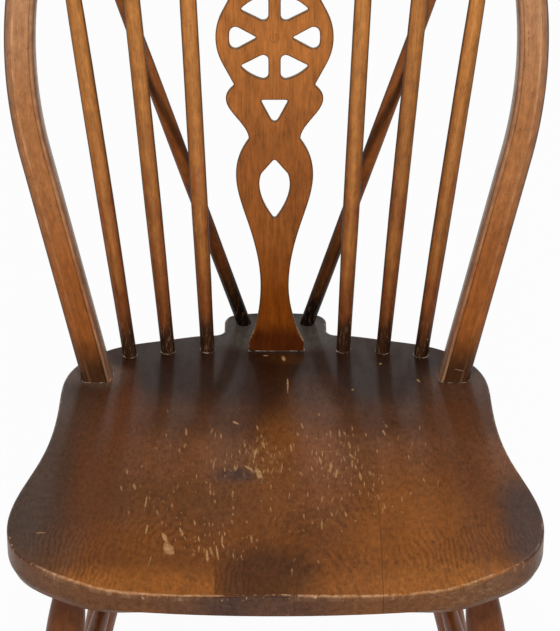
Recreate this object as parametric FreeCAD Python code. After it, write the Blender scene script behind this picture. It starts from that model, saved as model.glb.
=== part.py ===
import FreeCAD, Part
import math
import os

# A wheelback Windsor side chair. Millimetres, +Z up, the sitter faces -Y.
# While it is modelled, y is 0 at the middle of the seat's front edge and z is 0 on the floor.

V = FreeCAD.Vector
UP = V(0, 0, 1)
fit = 0.12                     # clearance round each tenon in its hole, on the radius
bottoming = 0.5                # space left at the blind end of a hole
overrun = 40.0                 # how far a cutting or trimmed shape runs past the piece it meets
merge = 2.0                    # how far a tenon runs back into its own piece
far = 1000.0                   # beyond every piece
tolerance = 0.01

# Seat: three boards glued side by side
seat_height = 440.0
seat_thickness = 26.0
front_half_straight = 120.0    # half of the gently bowed stretch of the front edge
front_sweep = 7.0              # how far that stretch falls back from the middle
front_shoulder_x = 171.0
front_shoulder_y = 27.5
front_corner_x = 203.0
front_corner_y = 55.0
seat_half_width = 215.3
seat_widest_y = 99.0
flank_upper_x = 208.0
flank_upper_y = 150.0
flank_lower_x = 195.2
flank_lower_y = 195.0
waist_half_width = 184.0
waist_y = 290.0
waist_start_x = 186.8
waist_start_y = 242.0
back_shoulder_x = 178.7
back_shoulder_y = 335.0
back_corner_x = 160.0
back_corner_y = 364.0
back_corner_end_x = 133.5
back_corner_end_y = 381.5
back_edge_x = 95.0
back_edge_y = 392.5
tail_half_width = 45.0         # the tongue at the back that holds the two braces
tail_root_y = 400.5
tail_root_radius = 9.0
tail_back_y = 440.0
tail_corner_radius = 14.0
tail_back_bow = 2.5
seam_left_x = -47.5
seam_right_x = 83.8
seat_top_round = 2.5
seat_under_bevel_in = 7.0
seat_under_bevel_up = 6.5
dish_radius = 158.0            # the main hollow of the seat
dish_depth = 4.5
dish_y = 170.0
thigh_radius = 88.0            # one smaller hollow under each thigh, at the front edge
thigh_depth = 2.6
thigh_x = 86.0
thigh_y = 22.0

# Bow: one bent piece that frames the back
bow_foot_x = 153.3
bow_foot_y = 327.5
bow_lean = 10.5                # degrees, top away from the sitter
bow_straight = 206.4           # length of the straight stretch up from the seat
bow_splay = 13.7               # degrees, the straight stretch opens outwards
bow_side_radius = 388.6
bow_side_past = 7.3            # degrees that the side arc turns in past upright
bow_shoulder_radius = 145.2
bow_crown_radius = 321.6
bow_width = 26.0
bow_depth = 18.0
bow_flat_half = 7.0
bow_quirk_width = 1.0
bow_quirk_depth = 0.8
bow_bead_drop = 0.2            # the bead beyond each quirk lies this much lower than the flat
bow_front_round = 4.6
bow_back_round = 4.0
bow_tenon_radius = 7.5
wedge_width = 13.0
wedge_thick = 2.6
wedge_thin = 1.0
wedge_length = 15.0
wedge_clearance = 0.05

# Spindles: three on each side of the splat, counted from the outside
spindle_foot_x = (126.9, 93.8, 59.3)
spindle_foot_y = (366.0, 372.5, 374.5)
spindle_crown_x = (178.0, 129.5, 78.7)
spindle_foot_radius = 6.1
spindle_belly_radius = 7.2
spindle_belly_at = 150.0       # height of the thickest place above the seat
spindle_upper_radius = 7.0
spindle_upper_at = 110.0       # distance of the upper station below the bow
spindle_top_radius = 5.8
spindle_seat_depth = 15.0
stick_foot_straight = 4.0      # spindles and braces keep their foot's thickness this far above the seat

# Braces: two sticks from the tongue to the bow
brace_foot_x = 28.0
brace_foot_y = 421.0
brace_crown_x = 162.0
brace_behind = 4.0             # behind the middle of the bow
brace_foot_radius = 6.1
brace_belly_radius = 6.7
brace_top_radius = 5.8
brace_seat_depth = 15.0

# Splat: one pierced board, heights above the seat along the board
splat_y = 374.5
splat_thickness = 5.0
splat_foot_half = 24.2
splat_foot_height = 8.0
splat_ankle_half = 20.3
splat_ankle_height = 17.0
splat_neck_half = 12.2
splat_neck_height = 63.0
splat_calf_half = 22.5
splat_calf_below = 169.5       # from here on, distances are measured down from the middle of the wheel
splat_belly_half = 32.9
splat_belly_below = 125.5
splat_waist_half = 21.9
splat_waist_below = 91.1
lobe_half = 41.0
lobe_below_wheel = 56.6
lobe_rise_half = 30.8
lobe_rise_below = 73.5
notch_half = 33.9
notch_below_wheel = 42.4
splat_tenon_half = 18.0
splat_tenon_depth = 14.0
splat_crown_tenon = 9.0
upper_waist_half = 22.0
upper_waist_above = 90.0
splat_top_half = 37.0
upper_neck_hollow = 3.0        # how far the edge is drawn in between the upper waist and the top

wheel_height = 289.9
wheel_radius = 49.5
rim_width = 11.5
hub_radius = 14.4
upright_spoke_half = 5.2
side_opening_angle = 29.5
side_opening_round = 5.0
lower_opening_top = 12.6
lower_opening_angle = 27.5
lower_opening_round = 4.2
opening_point_round = 1.0
heart_half = 12.0              # the three-cornered hole under the wheel
heart_top_below = 55.5
heart_tip_below = 79.0
heart_round = 1.4
heart_tip_round = 3.2
lozenge_half = 12.8
lozenge_top_below = 109.3
lozenge_shoulder_half = 11.3
lozenge_shoulder_below = 122.9
lozenge_wide_below = 129.9
lozenge_lower_half = 7.8
lozenge_lower_below = 152.4
lozenge_tip_below = 165.0
lozenge_tip_round = 1.5

# Legs: turned, thin at the top, with a long swelling
leg_front_x = 162.4
leg_front_y = 81.0
leg_front_splay = 0.12         # outwards for each unit down
leg_front_rake = 0.10          # forwards for each unit down
leg_rear_x = 110.0
leg_rear_y = 328.0
leg_rear_splay = 0.19
leg_rear_rake = 0.21
leg_socket_depth = 18.0
leg_top_radius = 11.0
leg_top_straight = 2.0
leg_neck_radius = 12.3
leg_neck_down = 30.0
leg_shoulder_radius = 15.0
leg_shoulder_down = 62.0
leg_swell_radius = 18.2
leg_swell_down = 135.0
leg_shin_radius = 14.0
leg_shin_down = 262.0
leg_ankle_radius = 12.4
leg_ankle_down = 345.0
leg_foot_radius = 11.0

# Stretchers: an H between the legs, heights of their centre lines above the floor
side_front_height = 182.0
side_rear_height = 170.0
cross_from_front = 145.5       # the place of the cross stretcher along a side one, from the front leg
stretcher_end_radius = 7.5
stretcher_belly_radius = 10.8
stretcher_end_straight = 18.0
cross_end_radius = 6.5
cross_belly_radius = 9.6
cross_end_short = 2.0


def cylinder(start, direction, length, radius):
    return Part.makeCylinder(radius, length, start, direction)


def turned(start, end, profile):
    """A turned stick: profile gives distance from the start and radius, smooth between its stations."""
    direction = (end - start).normalize()
    first, last = profile[0], profile[-1]
    curve = Part.BSplineCurve()
    points = [V(radius, 0, along) for along, radius in profile[1:-1]]
    curve.interpolate(Points=points, InitialTangent=UP, FinalTangent=UP, Scale=False)
    corners = [V(0, 0, first[0]), V(first[1], 0, first[0]), points[0]]
    tops = [points[-1], V(last[1], 0, last[0]), V(0, 0, last[0])]
    edges = Part.makePolygon(corners).Edges + [curve.toShape()] + Part.makePolygon(tops).Edges
    edges.append(Part.makeLine(tops[-1], corners[0]))
    solid = Part.Face(Part.Wire(edges)).revolve(V(0, 0, 0), UP, 360)
    solid = Part.makeSolid(solid) if solid.ShapeType == "Shell" else solid
    return placed(solid, start, FreeCAD.Rotation(UP, direction))


def placed(shape, origin, rotation):
    """A copy of a shape, turned and moved from where it was drawn."""
    result = shape.copy()
    result.Placement = FreeCAD.Placement(origin, rotation).multiply(shape.Placement)
    return result


def slab(low, high):
    """A wide block between two heights."""
    return Part.makeBox(2 * far, 2 * far, high - low, V(-far, -far, low))


def arc(first, middle, last):
    return Part.Arc(first, middle, last).toShape()


def mirrored(edges):
    return [edge.mirror(V(0, 0, 0), V(1, 0, 0)) for edge in edges]


def smooth(points, first_tangent=None, last_tangent=None):
    curve = Part.BSplineCurve()
    if first_tangent is None:
        curve.interpolate(Points=points)
    else:
        ends = {"InitialTangent": first_tangent, "FinalTangent": last_tangent, "Scale": False}
        curve.interpolate(Points=points, **ends)
    return curve.toShape()


def solid_of(shape):
    """The one solid of a result, without its inner seams."""
    clean = shape.removeSplitter()
    assert len(clean.Solids) == 1, len(clean.Solids)
    return clean.Solids[0]


# Seat

def seat_outline():
    front_radius = (front_half_straight ** 2 + front_sweep ** 2) / (2 * front_sweep)
    slope = math.asin(front_half_straight / front_radius)
    front_end = V(front_half_straight, front_sweep, 0)
    front = arc(V(-front_half_straight, front_sweep, 0), V(0, 0, 0), front_end)
    root = V(tail_half_width + tail_root_radius, tail_root_y, 0)
    side = smooth([
        front_end,
        V(front_shoulder_x, front_shoulder_y, 0),
        V(front_corner_x, front_corner_y, 0),
        V(seat_half_width, seat_widest_y, 0),
        V(flank_upper_x, flank_upper_y, 0),
        V(flank_lower_x, flank_lower_y, 0),
        V(waist_start_x, waist_start_y, 0),
        V(waist_half_width, waist_y, 0),
        V(back_shoulder_x, back_shoulder_y, 0),
        V(back_corner_x, back_corner_y, 0),
        V(back_corner_end_x, back_corner_end_y, 0),
        V(back_edge_x, back_edge_y, 0),
        root,
    ], V(math.cos(slope), math.sin(slope), 0), V(-1, 0, 0))
    tail_side = V(tail_half_width, tail_root_y + tail_root_radius, 0)
    diagonal = tail_root_radius * (1 - math.sqrt(0.5))
    inset = tail_corner_radius * (1 - math.sqrt(0.5))
    root_arc = arc(root, V(tail_half_width + diagonal, tail_root_y + diagonal, 0), tail_side)
    corner_end_y = tail_back_y - tail_back_bow
    corner_start = V(tail_half_width, corner_end_y - tail_corner_radius, 0)
    back = smooth([
        corner_start,
        V(tail_half_width - inset, corner_end_y - inset, 0),
        V(tail_half_width - tail_corner_radius, corner_end_y, 0),
        V(0, tail_back_y, 0),
    ], V(0, 1, 0), V(-1, 0, 0))
    half = [side, root_arc, Part.makeLine(tail_side, corner_start), back]
    return Part.Wire(Part.__sortEdges__([front] + half + mirrored(half)))


def hollow(x, y, radius, depth):
    """A shallow round hollow in the seat's top: its floor runs out level at its rim."""
    steps = 6
    stations = [V(radius * k / steps, 0, -depth * (1 + math.cos(math.pi * k / steps)) / 2)
                for k in range(steps + 1)]
    floor = smooth(stations, V(1, 0, 0), V(1, 0, 0))
    sides = Part.makePolygon([stations[-1], V(radius, 0, depth), V(0, 0, depth), stations[0]])
    tool = Part.Face(Part.Wire([floor] + sides.Edges)).revolve(V(0, 0, 0), UP, 360)
    tool.translate(V(x, y, seat_height))
    return tool


def seat_blank():
    face = Part.Face(seat_outline())
    face.translate(V(0, 0, seat_height - seat_thickness))
    blank = face.extrude(V(0, 0, seat_thickness))
    half_height = seat_height - seat_thickness / 2
    top = [e for e in blank.Edges if e.BoundBox.ZMin > half_height]
    blank = blank.makeFillet(seat_top_round, top)
    under = [e for e in blank.Edges if e.BoundBox.ZMax < half_height]
    blank = blank.makeChamfer(seat_under_bevel_up, seat_under_bevel_in, under)
    hollows = [hollow(0, dish_y, dish_radius, dish_depth)]
    hollows += [hollow(side * thigh_x, thigh_y, thigh_radius, thigh_depth) for side in (-1, 1)]
    return blank.cut(hollows)


# Bow

bow_up = V(0, math.sin(math.radians(bow_lean)), math.cos(math.radians(bow_lean)))


def on_bow_plane(x, along):
    return V(x, bow_foot_y, seat_height) + bow_up * along


def on_arc(centre, radius, degrees):
    a = math.radians(degrees)
    return (centre[0] + radius * math.cos(a), centre[1] + radius * math.sin(a))


def bow_arcs():
    """Centre, radius and end angles of the side, shoulder and crown arcs on the +X half."""
    splay = math.radians(bow_splay)
    start = (bow_foot_x + bow_straight * math.sin(splay), bow_straight * math.cos(splay))
    side_centre = (start[0] - bow_side_radius * math.cos(splay), start[1] + bow_side_radius * math.sin(splay))
    shoulder_centre = on_arc(side_centre, bow_side_radius - bow_shoulder_radius, bow_side_past)
    drop = math.sqrt((bow_crown_radius - bow_shoulder_radius) ** 2 - shoulder_centre[0] ** 2)
    crown_centre = (0.0, shoulder_centre[1] - drop)
    meet = math.degrees(math.atan2(drop, shoulder_centre[0]))
    return [
        (side_centre, bow_side_radius, -bow_splay, bow_side_past),
        (shoulder_centre, bow_shoulder_radius, bow_side_past, meet),
        (crown_centre, bow_crown_radius, meet, 90.0),
    ]


bow_crown_height = on_arc(*bow_arcs()[-1][:2], 90.0)[1]


def crown_point(x):
    """The place on the bow's centre line, at its top, that stands x from the middle."""
    for centre, radius, low, high in reversed(bow_arcs()):
        if on_arc(centre, radius, low)[0] >= x:
            return on_bow_plane(x, centre[1] + math.sqrt(radius ** 2 - (x - centre[0]) ** 2))
    raise ValueError(x)


def bow_section():
    """The bow's section, drawn about its middle: first across, then towards the sitter."""
    half, front, back = bow_width / 2, bow_depth / 2, -bow_depth / 2
    flat, quirk = bow_flat_half, bow_flat_half + bow_quirk_width
    lip = front - bow_bead_drop
    turn = math.sqrt(0.5)
    shoulder = [(quirk, lip), (half - (half - quirk) * (1 - turn), lip - bow_front_round * (1 - turn)),
                (half, lip - bow_front_round)]
    rear = [(half, back + bow_back_round),
            (half - bow_back_round * (1 - turn), back + bow_back_round * (1 - turn)),
            (half - bow_back_round, back)]
    valley = (flat + bow_quirk_width / 2, front - bow_quirk_depth)

    def point(pair, side=1):
        return V(side * pair[0], pair[1], 0)

    def half_edges(side):
        line = [(flat, front), valley, shoulder[0]]
        return Part.makePolygon([point(p, side) for p in line]).Edges + [
            arc(*[point(p, side) for p in shoulder]),
            Part.makeLine(point(shoulder[2], side), point(rear[0], side)),
            arc(*[point(p, side) for p in rear]),
        ]

    edges = half_edges(1) + half_edges(-1)
    edges.append(Part.makeLine(V(-flat, front, 0), V(flat, front, 0)))
    edges.append(Part.makeLine(V(bow_back_round - half, back, 0), V(half - bow_back_round, back, 0)))
    return Part.Wire(Part.__sortEdges__(edges))


splay_angle = math.radians(bow_splay)
bow_foot_directions = {
    side: (V(side * math.sin(splay_angle), 0, 0) + bow_up * math.cos(splay_angle)) for side in (1, -1)
}
bow_feet = {side: on_bow_plane(side * bow_foot_x, 0) for side in (1, -1)}


def bow_sweep():
    first = on_arc(*bow_arcs()[0][:3])
    run = [Part.makeLine(bow_feet[1] - bow_foot_directions[1] * overrun, on_bow_plane(*first))]
    for centre, radius, low, high in bow_arcs()[:2]:
        places = [on_arc(centre, radius, a) for a in (low, (low + high) / 2, high)]
        run.append(arc(*[on_bow_plane(*p) for p in places]))
    centre, radius, low, high = bow_arcs()[2]
    places = [on_arc(centre, radius, a) for a in (low, high, 180 - low)]
    crown = arc(*[on_bow_plane(*p) for p in places])
    path = Part.Wire(Part.__sortEdges__(run + [crown] + mirrored(run)))
    section = bow_section()
    forward = V(0, -math.cos(math.radians(bow_lean)), math.sin(math.radians(bow_lean)))
    tangent = bow_foot_directions[1]
    across = forward.cross(tangent)
    turn = FreeCAD.Rotation(across, forward, tangent, "ZXY")
    section = placed(section, bow_feet[1] - tangent * overrun, turn)
    return path.makePipeShell([section], True, False)


def bow_tenon(side, radius):
    direction = bow_foot_directions[side]
    length = 2 * seat_thickness
    return cylinder(bow_feet[side] - direction * length, direction, length + overrun, radius)


def wedge(side, gap):
    """The wedge driven into the tenon from under the seat, its broad end flush with the underside."""
    thick, thin, wide = wedge_thick / 2 + gap, wedge_thin / 2 + gap, wedge_width / 2 + gap
    tall = wedge_length + gap
    outline = [V(-thick, 0, -overrun), V(thick, 0, -overrun), V(thick, 0, 0), V(thin, 0, tall),
               V(-thin, 0, tall), V(-thick, 0, 0), V(-thick, 0, -overrun)]
    body = Part.Face(Part.makePolygon(outline)).extrude(V(0, 2 * wide, 0))
    body.translate(V(0, -wide, 0))
    direction = bow_foot_directions[side]
    down = seat_thickness / direction.z
    body = placed(body, bow_feet[side] - direction * down, FreeCAD.Rotation(UP, direction))
    return body.common(slab(seat_height - seat_thickness, seat_height))


# Sticks of the back

def stick_line(foot, crown, depth):
    direction = (crown - foot).normalize()
    return foot - direction * depth, crown


def spindle_ends(side, place):
    foot = V(side * spindle_foot_x[place], spindle_foot_y[place], seat_height)
    crown = crown_point(spindle_crown_x[place])
    crown.x *= side
    return stick_line(foot, crown, spindle_seat_depth)


def spindle(side, place):
    start, end = spindle_ends(side, place)
    length = (end - start).Length
    return turned(start, end, [
        (0, spindle_foot_radius),
        (spindle_seat_depth + stick_foot_straight, spindle_foot_radius),
        (spindle_seat_depth + spindle_belly_at, spindle_belly_radius),
        (length - spindle_upper_at, spindle_upper_radius),
        (length - bow_width, spindle_top_radius),
        (length, spindle_top_radius),
    ])


def brace_ends(side):
    foot = V(side * brace_foot_x, brace_foot_y, seat_height)
    crown = crown_point(brace_crown_x)
    crown = V(side * crown.x, crown.y + brace_behind, crown.z)
    return stick_line(foot, crown, brace_seat_depth)


def brace(side):
    start, end = brace_ends(side)
    length = (end - start).Length
    return turned(start, end, [
        (0, brace_foot_radius),
        (brace_seat_depth + stick_foot_straight, brace_foot_radius),
        (length / 2, brace_belly_radius),
        (length - bow_width, brace_top_radius),
        (length, brace_top_radius),
    ])


def hole(start, end, radius_start, radius_end):
    """The pair of holes that a stick's two ends go into."""
    direction = (end - start).normalize()
    first = cylinder(start - direction * bottoming, direction, overrun, radius_start + fit)
    second = cylinder(end - direction * overrun, direction, overrun + bottoming, radius_end + fit)
    return first, second


# Splat

splat_crown = on_bow_plane(0, bow_crown_height)
splat_foot = V(0, splat_y, seat_height)
splat_up = (splat_crown - splat_foot).normalize()
splat_length = (splat_crown - splat_foot).Length
splat_shoulder = splat_length - bow_width / 2


def stand(shape):
    """Moves a shape drawn flat, with y as height, into the splat's leaning plane."""
    forward = V(1, 0, 0).cross(splat_up)
    return placed(shape, splat_foot, FreeCAD.Rotation(V(1, 0, 0), splat_up, forward, "ZXY"))


def board(wire):
    face = Part.Face(wire)
    face.translate(V(0, 0, -splat_thickness / 2))
    return face.extrude(V(0, 0, splat_thickness))


def rim_tangent(sign):
    """Where a line from the notch touches the wheel, above (+1) or below (-1) its middle."""
    dx, dy = notch_half, notch_below_wheel
    distance = math.hypot(dx, dy)
    angle = math.atan2(dy, dx) - math.acos(wheel_radius / distance)
    return V(wheel_radius * math.cos(angle), wheel_height + sign * wheel_radius * math.sin(angle), 0)


def splat_outline():
    notch = V(notch_half, wheel_height - notch_below_wheel, 0)
    upper_notch = V(notch_half, wheel_height + notch_below_wheel, 0)
    waist = V(splat_waist_half, wheel_height - splat_waist_below, 0)
    foot = V(splat_foot_half, splat_foot_height, 0)
    touch, upper_touch = rim_tangent(-1), rim_tangent(1)
    top = V(splat_top_half, splat_length, 0)
    upper_waist = V(upper_waist_half, wheel_height + upper_waist_above, 0)
    half = [
        Part.makeLine(V(splat_foot_half, -overrun, 0), foot),
        smooth([
            foot,
            V(splat_ankle_half, splat_ankle_height, 0),
            V(splat_neck_half, splat_neck_height, 0),
            V(splat_calf_half, wheel_height - splat_calf_below, 0),
            V(splat_belly_half, wheel_height - splat_belly_below, 0),
            waist,
        ]),
        smooth([
            waist,
            V(lobe_rise_half, wheel_height - lobe_rise_below, 0),
            V(lobe_half, wheel_height - lobe_below_wheel, 0),
            notch,
        ]),
        Part.makeLine(notch, touch),
        arc(touch, V(wheel_radius, wheel_height, 0), upper_touch),
        Part.makeLine(upper_touch, upper_notch),
        smooth([
            upper_notch,
            V(lobe_half, wheel_height + lobe_below_wheel, 0),
            V(lobe_rise_half, wheel_height + lobe_rise_below, 0),
            upper_waist,
        ]),
        smooth([upper_waist, (upper_waist + top) / 2 - V(upper_neck_hollow, 0, 0), top]),
    ]
    ends = [Part.makeLine(V(-splat_foot_half, -overrun, 0), V(splat_foot_half, -overrun, 0)),
            Part.makeLine(V(-splat_top_half, splat_length, 0), top)]
    return Part.Wire(Part.__sortEdges__(half + mirrored(half) + ends))


def prism(points, corner_rounds):
    """A straight-sided hole tool whose corners are rounded in the order of its points."""
    tool = board(Part.makePolygon(points + [points[0]]))
    for corner, radius in zip(points, corner_rounds):
        edges = [e for e in tool.Edges
                 if all(abs(v.X - corner.x) + abs(v.Y - corner.y) < tolerance for v in e.Vertexes)]
        tool = tool.makeFillet(radius, edges)
    return tool


def wheel_opening(points, rounds, point_round):
    """A wheel opening: a wedge ended by the rim, with two rounded corners and a sharper one."""
    inner = wheel_radius - rim_width
    disc = Part.makeCylinder(inner, splat_thickness, V(0, wheel_height, -splat_thickness / 2))
    tool = board(Part.makePolygon(points + [points[0]])).common(disc)
    uprights = [e for e in tool.Edges if e.BoundBox.ZLength > splat_thickness - tolerance]
    sharp = max(uprights, key=point_round)
    blunt = [e for e in uprights if not e.isSame(sharp)]
    tool = tool.makeFillet(rounds, blunt)
    uprights = [e for e in tool.Edges if e.BoundBox.ZLength > splat_thickness - tolerance]
    near = min(uprights, key=lambda e: (e.CenterOfMass - sharp.CenterOfMass).Length)
    return tool.makeFillet(opening_point_round, [near])


def splat_openings():
    middle = V(0, wheel_height, 0)
    reach = 2 * wheel_radius
    slope = math.tan(math.radians(side_opening_angle))
    side = [middle + V(hub_radius, 0, 0), middle + V(reach, slope * (reach - hub_radius), 0),
            middle + V(reach, -slope * (reach - hub_radius), 0)]
    side_hole = wheel_opening(side, side_opening_round, lambda e: -e.CenterOfMass.x)
    drop = math.tan(math.radians(lower_opening_angle)) * reach
    lower = [middle + V(upright_spoke_half, -lower_opening_top, 0),
             middle + V(upright_spoke_half, -reach, 0),
             middle + V(upright_spoke_half + reach, -reach, 0),
             middle + V(upright_spoke_half + reach, -lower_opening_top - drop, 0)]
    lower_hole = wheel_opening(lower, lower_opening_round, lambda e: e.CenterOfMass.x)
    upper_hole = lower_hole.mirror(middle, V(0, 1, 0))
    right = [side_hole, lower_hole, upper_hole]
    heart_top = wheel_height - heart_top_below
    heart = [V(-heart_half, heart_top, 0), V(heart_half, heart_top, 0),
             V(0, wheel_height - heart_tip_below, 0)]
    heart_hole = prism(heart, (heart_round, heart_round, heart_tip_round))
    shoulder = V(lozenge_shoulder_half, wheel_height - lozenge_shoulder_below, 0)
    lozenge = [
        Part.makeLine(V(0, wheel_height - lozenge_top_below, 0), shoulder),
        smooth([
            shoulder,
            V(lozenge_half, wheel_height - lozenge_wide_below, 0),
            V(lozenge_lower_half, wheel_height - lozenge_lower_below, 0),
            V(0, wheel_height - lozenge_tip_below, 0),
        ]),
    ]
    lozenge_hole = board(Part.Wire(Part.__sortEdges__(lozenge + mirrored(lozenge))))
    tips = [e for e in lozenge_hole.Edges if e.BoundBox.ZLength > splat_thickness - tolerance
            and abs(e.CenterOfMass.x) < tolerance]
    lozenge_hole = lozenge_hole.makeFillet(lozenge_tip_round, tips)
    return right + [h.mirror(V(0, 0, 0), V(1, 0, 0)) for h in right] + [
        heart_hole, heart_hole.mirror(middle, V(0, 1, 0)), lozenge_hole]


def splat_block(half_width, low, high, gap):
    """A tenon of the splat, or with a gap the mortise for it."""
    thick = splat_thickness / 2 + gap
    return stand(Part.makeBox(2 * (half_width + gap), high - low, 2 * thick,
                              V(-half_width - gap, low, -thick)))


def splat(bow_body):
    shape = board(splat_outline())
    for opening in splat_openings():
        shape = shape.cut(opening)
    shape = stand(shape).common(slab(seat_height, seat_height + 2 * splat_length))
    shape = shape.cut(bow_body)
    shape = max(shape.Solids, key=lambda s: s.Volume)
    foot = splat_block(splat_tenon_half, -splat_tenon_depth, merge, 0)
    crown = splat_block(splat_tenon_half, splat_shoulder - merge, splat_shoulder + splat_crown_tenon, 0)
    return shape.fuse([foot, crown])


def splat_mortises():
    foot = splat_block(splat_tenon_half, -splat_tenon_depth - bottoming, overrun, fit)
    crown_end = splat_shoulder + splat_crown_tenon + bottoming
    crown = splat_block(splat_tenon_half, splat_shoulder - overrun, crown_end, fit)
    return foot, crown


# Legs and stretchers

def leg_line(side, front):
    """Top and bottom of a leg's centre line: at the seat's underside, and well under the floor."""
    x, y = (leg_front_x, leg_front_y) if front else (leg_rear_x, leg_rear_y)
    splay = leg_front_splay if front else leg_rear_splay
    rake = -leg_front_rake if front else leg_rear_rake
    direction = V(side * splay, rake, -1)
    return V(side * x, y, seat_height - seat_thickness), direction


def leg_at(side, front, height):
    top, direction = leg_line(side, front)
    return top + direction * (top.z - height)


def leg(side, front):
    top, direction = leg_line(side, front)
    unit = V(direction).normalize()
    stretch = direction.Length
    floor = top.z * stretch
    start = top - unit * leg_socket_depth
    stations = [(leg_neck_down, leg_neck_radius), (leg_shoulder_down, leg_shoulder_radius),
                (leg_swell_down, leg_swell_radius), (leg_shin_down, leg_shin_radius),
                (leg_ankle_down, leg_ankle_radius)]
    floor_at = leg_socket_depth + floor
    profile = [(0, leg_top_radius), (leg_socket_depth + leg_top_straight, leg_top_radius)]
    profile += [(leg_socket_depth + down, radius) for down, radius in stations]
    profile += [(floor_at, leg_foot_radius), (floor_at + overrun, leg_foot_radius)]
    body = turned(start, start + unit, profile)
    return body.common(slab(0, seat_height))


def leg_socket(side, front):
    top, direction = leg_line(side, front)
    unit = V(direction).normalize()
    depth = leg_socket_depth + bottoming
    return cylinder(top - unit * depth, unit, depth + overrun, leg_top_radius + fit)


def side_ends(side):
    return leg_at(side, True, side_front_height), leg_at(side, False, side_rear_height)


def cross_ends():
    ends = []
    for side in (-1, 1):
        front, rear = side_ends(side)
        along = (rear - front).normalize()
        ends.append(front + along * cross_from_front - V(side * cross_end_short, 0, 0))
    return ends


def stretcher(start, end, end_radius, belly_radius):
    length = (end - start).Length
    return turned(start, end, [
        (0, end_radius),
        (stretcher_end_straight, end_radius),
        (length / 2, belly_radius),
        (length - stretcher_end_straight, end_radius),
        (length, end_radius),
    ])


def build():
    parts = {}
    sides = {"left": -1, "right": 1}
    seat = seat_blank()
    bow = bow_sweep()
    parts["splat"] = splat(bow)
    foot_mortise, crown_mortise = splat_mortises()
    bow_cuts, seat_cuts = [crown_mortise], [foot_mortise]
    bow = bow.common(slab(seat_height, seat_height + 2 * bow_crown_height))
    tenons = []
    for name, side in sides.items():
        tenon = bow_tenon(side, bow_tenon_radius)
        tenons.append(tenon.common(slab(seat_height - seat_thickness, seat_height + merge)))
        seat_cuts.append(bow_tenon(side, bow_tenon_radius + fit))
        bow_cuts.append(wedge(side, wedge_clearance))
        parts["bow_wedge_" + name] = wedge(side, 0)
        for place in range(len(spindle_foot_x)):
            parts[f"spindle_{name}_{place + 1}"] = spindle(side, place)
            low, high = hole(*spindle_ends(side, place), spindle_foot_radius, spindle_top_radius)
            seat_cuts.append(low)
            bow_cuts.append(high)
        parts["brace_" + name] = brace(side)
        low, high = hole(*brace_ends(side), brace_foot_radius, brace_top_radius)
        seat_cuts.append(low)
        bow_cuts.append(high)

        front, rear = leg(side, True), leg(side, False)
        ends = side_ends(side)
        for socket in hole(*ends, stretcher_end_radius, stretcher_end_radius):
            front, rear = front.cut(socket), rear.cut(socket)
        seat_cuts += [leg_socket(side, True), leg_socket(side, False)]
        parts["leg_front_" + name], parts["leg_rear_" + name] = front, rear
        rail = stretcher(*ends, stretcher_end_radius, stretcher_belly_radius)
        for socket in hole(*cross_ends(), cross_end_radius, cross_end_radius):
            rail = rail.cut(socket)
        parts["side_stretcher_" + name] = rail
    parts["cross_stretcher"] = stretcher(*cross_ends(), cross_end_radius, cross_belly_radius)
    parts["bow"] = bow.fuse(tenons).cut(bow_cuts)

    seat = seat.cut(seat_cuts)
    boards = {"seat_board_left": (-far, seam_left_x), "seat_board_centre": (seam_left_x, seam_right_x),
              "seat_board_right": (seam_right_x, far)}
    for name, (low, high) in boards.items():
        parts[name] = seat.common(Part.makeBox(high - low, 2 * far, 2 * far, V(low, -far, -far)))
    return {name: solid_of(shape) for name, shape in parts.items()}


def main():
    parts = build()
    box = Part.makeCompound(list(parts.values())).optimalBoundingBox(False, False)
    shift = V(0, -box.Center.y, 0)
    os.makedirs("parts", exist_ok=True)
    for name, solid in parts.items():
        solid.translate(shift)
        solid.exportStep("parts/" + name + ".step")
        print(f"{name}: valid {solid.isValid()}, volume {solid.Volume / 1000:.1f} cm3")
    print(f"size {box.XLength:.1f} x {box.YLength:.1f} x {box.ZLength:.1f}, moved back by {shift.y:.2f}")


main()
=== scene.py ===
import math
from types import SimpleNamespace

import bmesh
import bpy
import numpy as np
from mathutils import Matrix, Vector
from mathutils.bvhtree import BVHTree


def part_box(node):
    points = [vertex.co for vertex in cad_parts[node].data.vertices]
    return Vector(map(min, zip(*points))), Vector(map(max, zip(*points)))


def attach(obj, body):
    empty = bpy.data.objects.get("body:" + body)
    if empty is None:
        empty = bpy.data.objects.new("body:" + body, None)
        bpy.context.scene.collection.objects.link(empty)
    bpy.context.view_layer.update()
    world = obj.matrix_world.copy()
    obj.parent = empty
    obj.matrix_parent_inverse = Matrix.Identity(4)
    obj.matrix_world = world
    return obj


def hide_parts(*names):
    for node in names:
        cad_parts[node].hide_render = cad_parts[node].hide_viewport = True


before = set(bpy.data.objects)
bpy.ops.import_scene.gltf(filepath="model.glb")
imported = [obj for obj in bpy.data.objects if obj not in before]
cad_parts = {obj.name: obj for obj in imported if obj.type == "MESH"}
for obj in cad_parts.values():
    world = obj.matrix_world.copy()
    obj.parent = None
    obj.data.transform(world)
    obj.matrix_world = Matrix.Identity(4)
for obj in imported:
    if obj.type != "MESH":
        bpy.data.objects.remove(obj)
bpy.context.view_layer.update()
mm = 0.001
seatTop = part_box("seat_board_left")[1].z
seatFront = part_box("seat_board_centre")[0].y
print("frame loaded, seat top at", round(seatTop, 4))


# Node expressions, for shaders and for geometry

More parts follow.
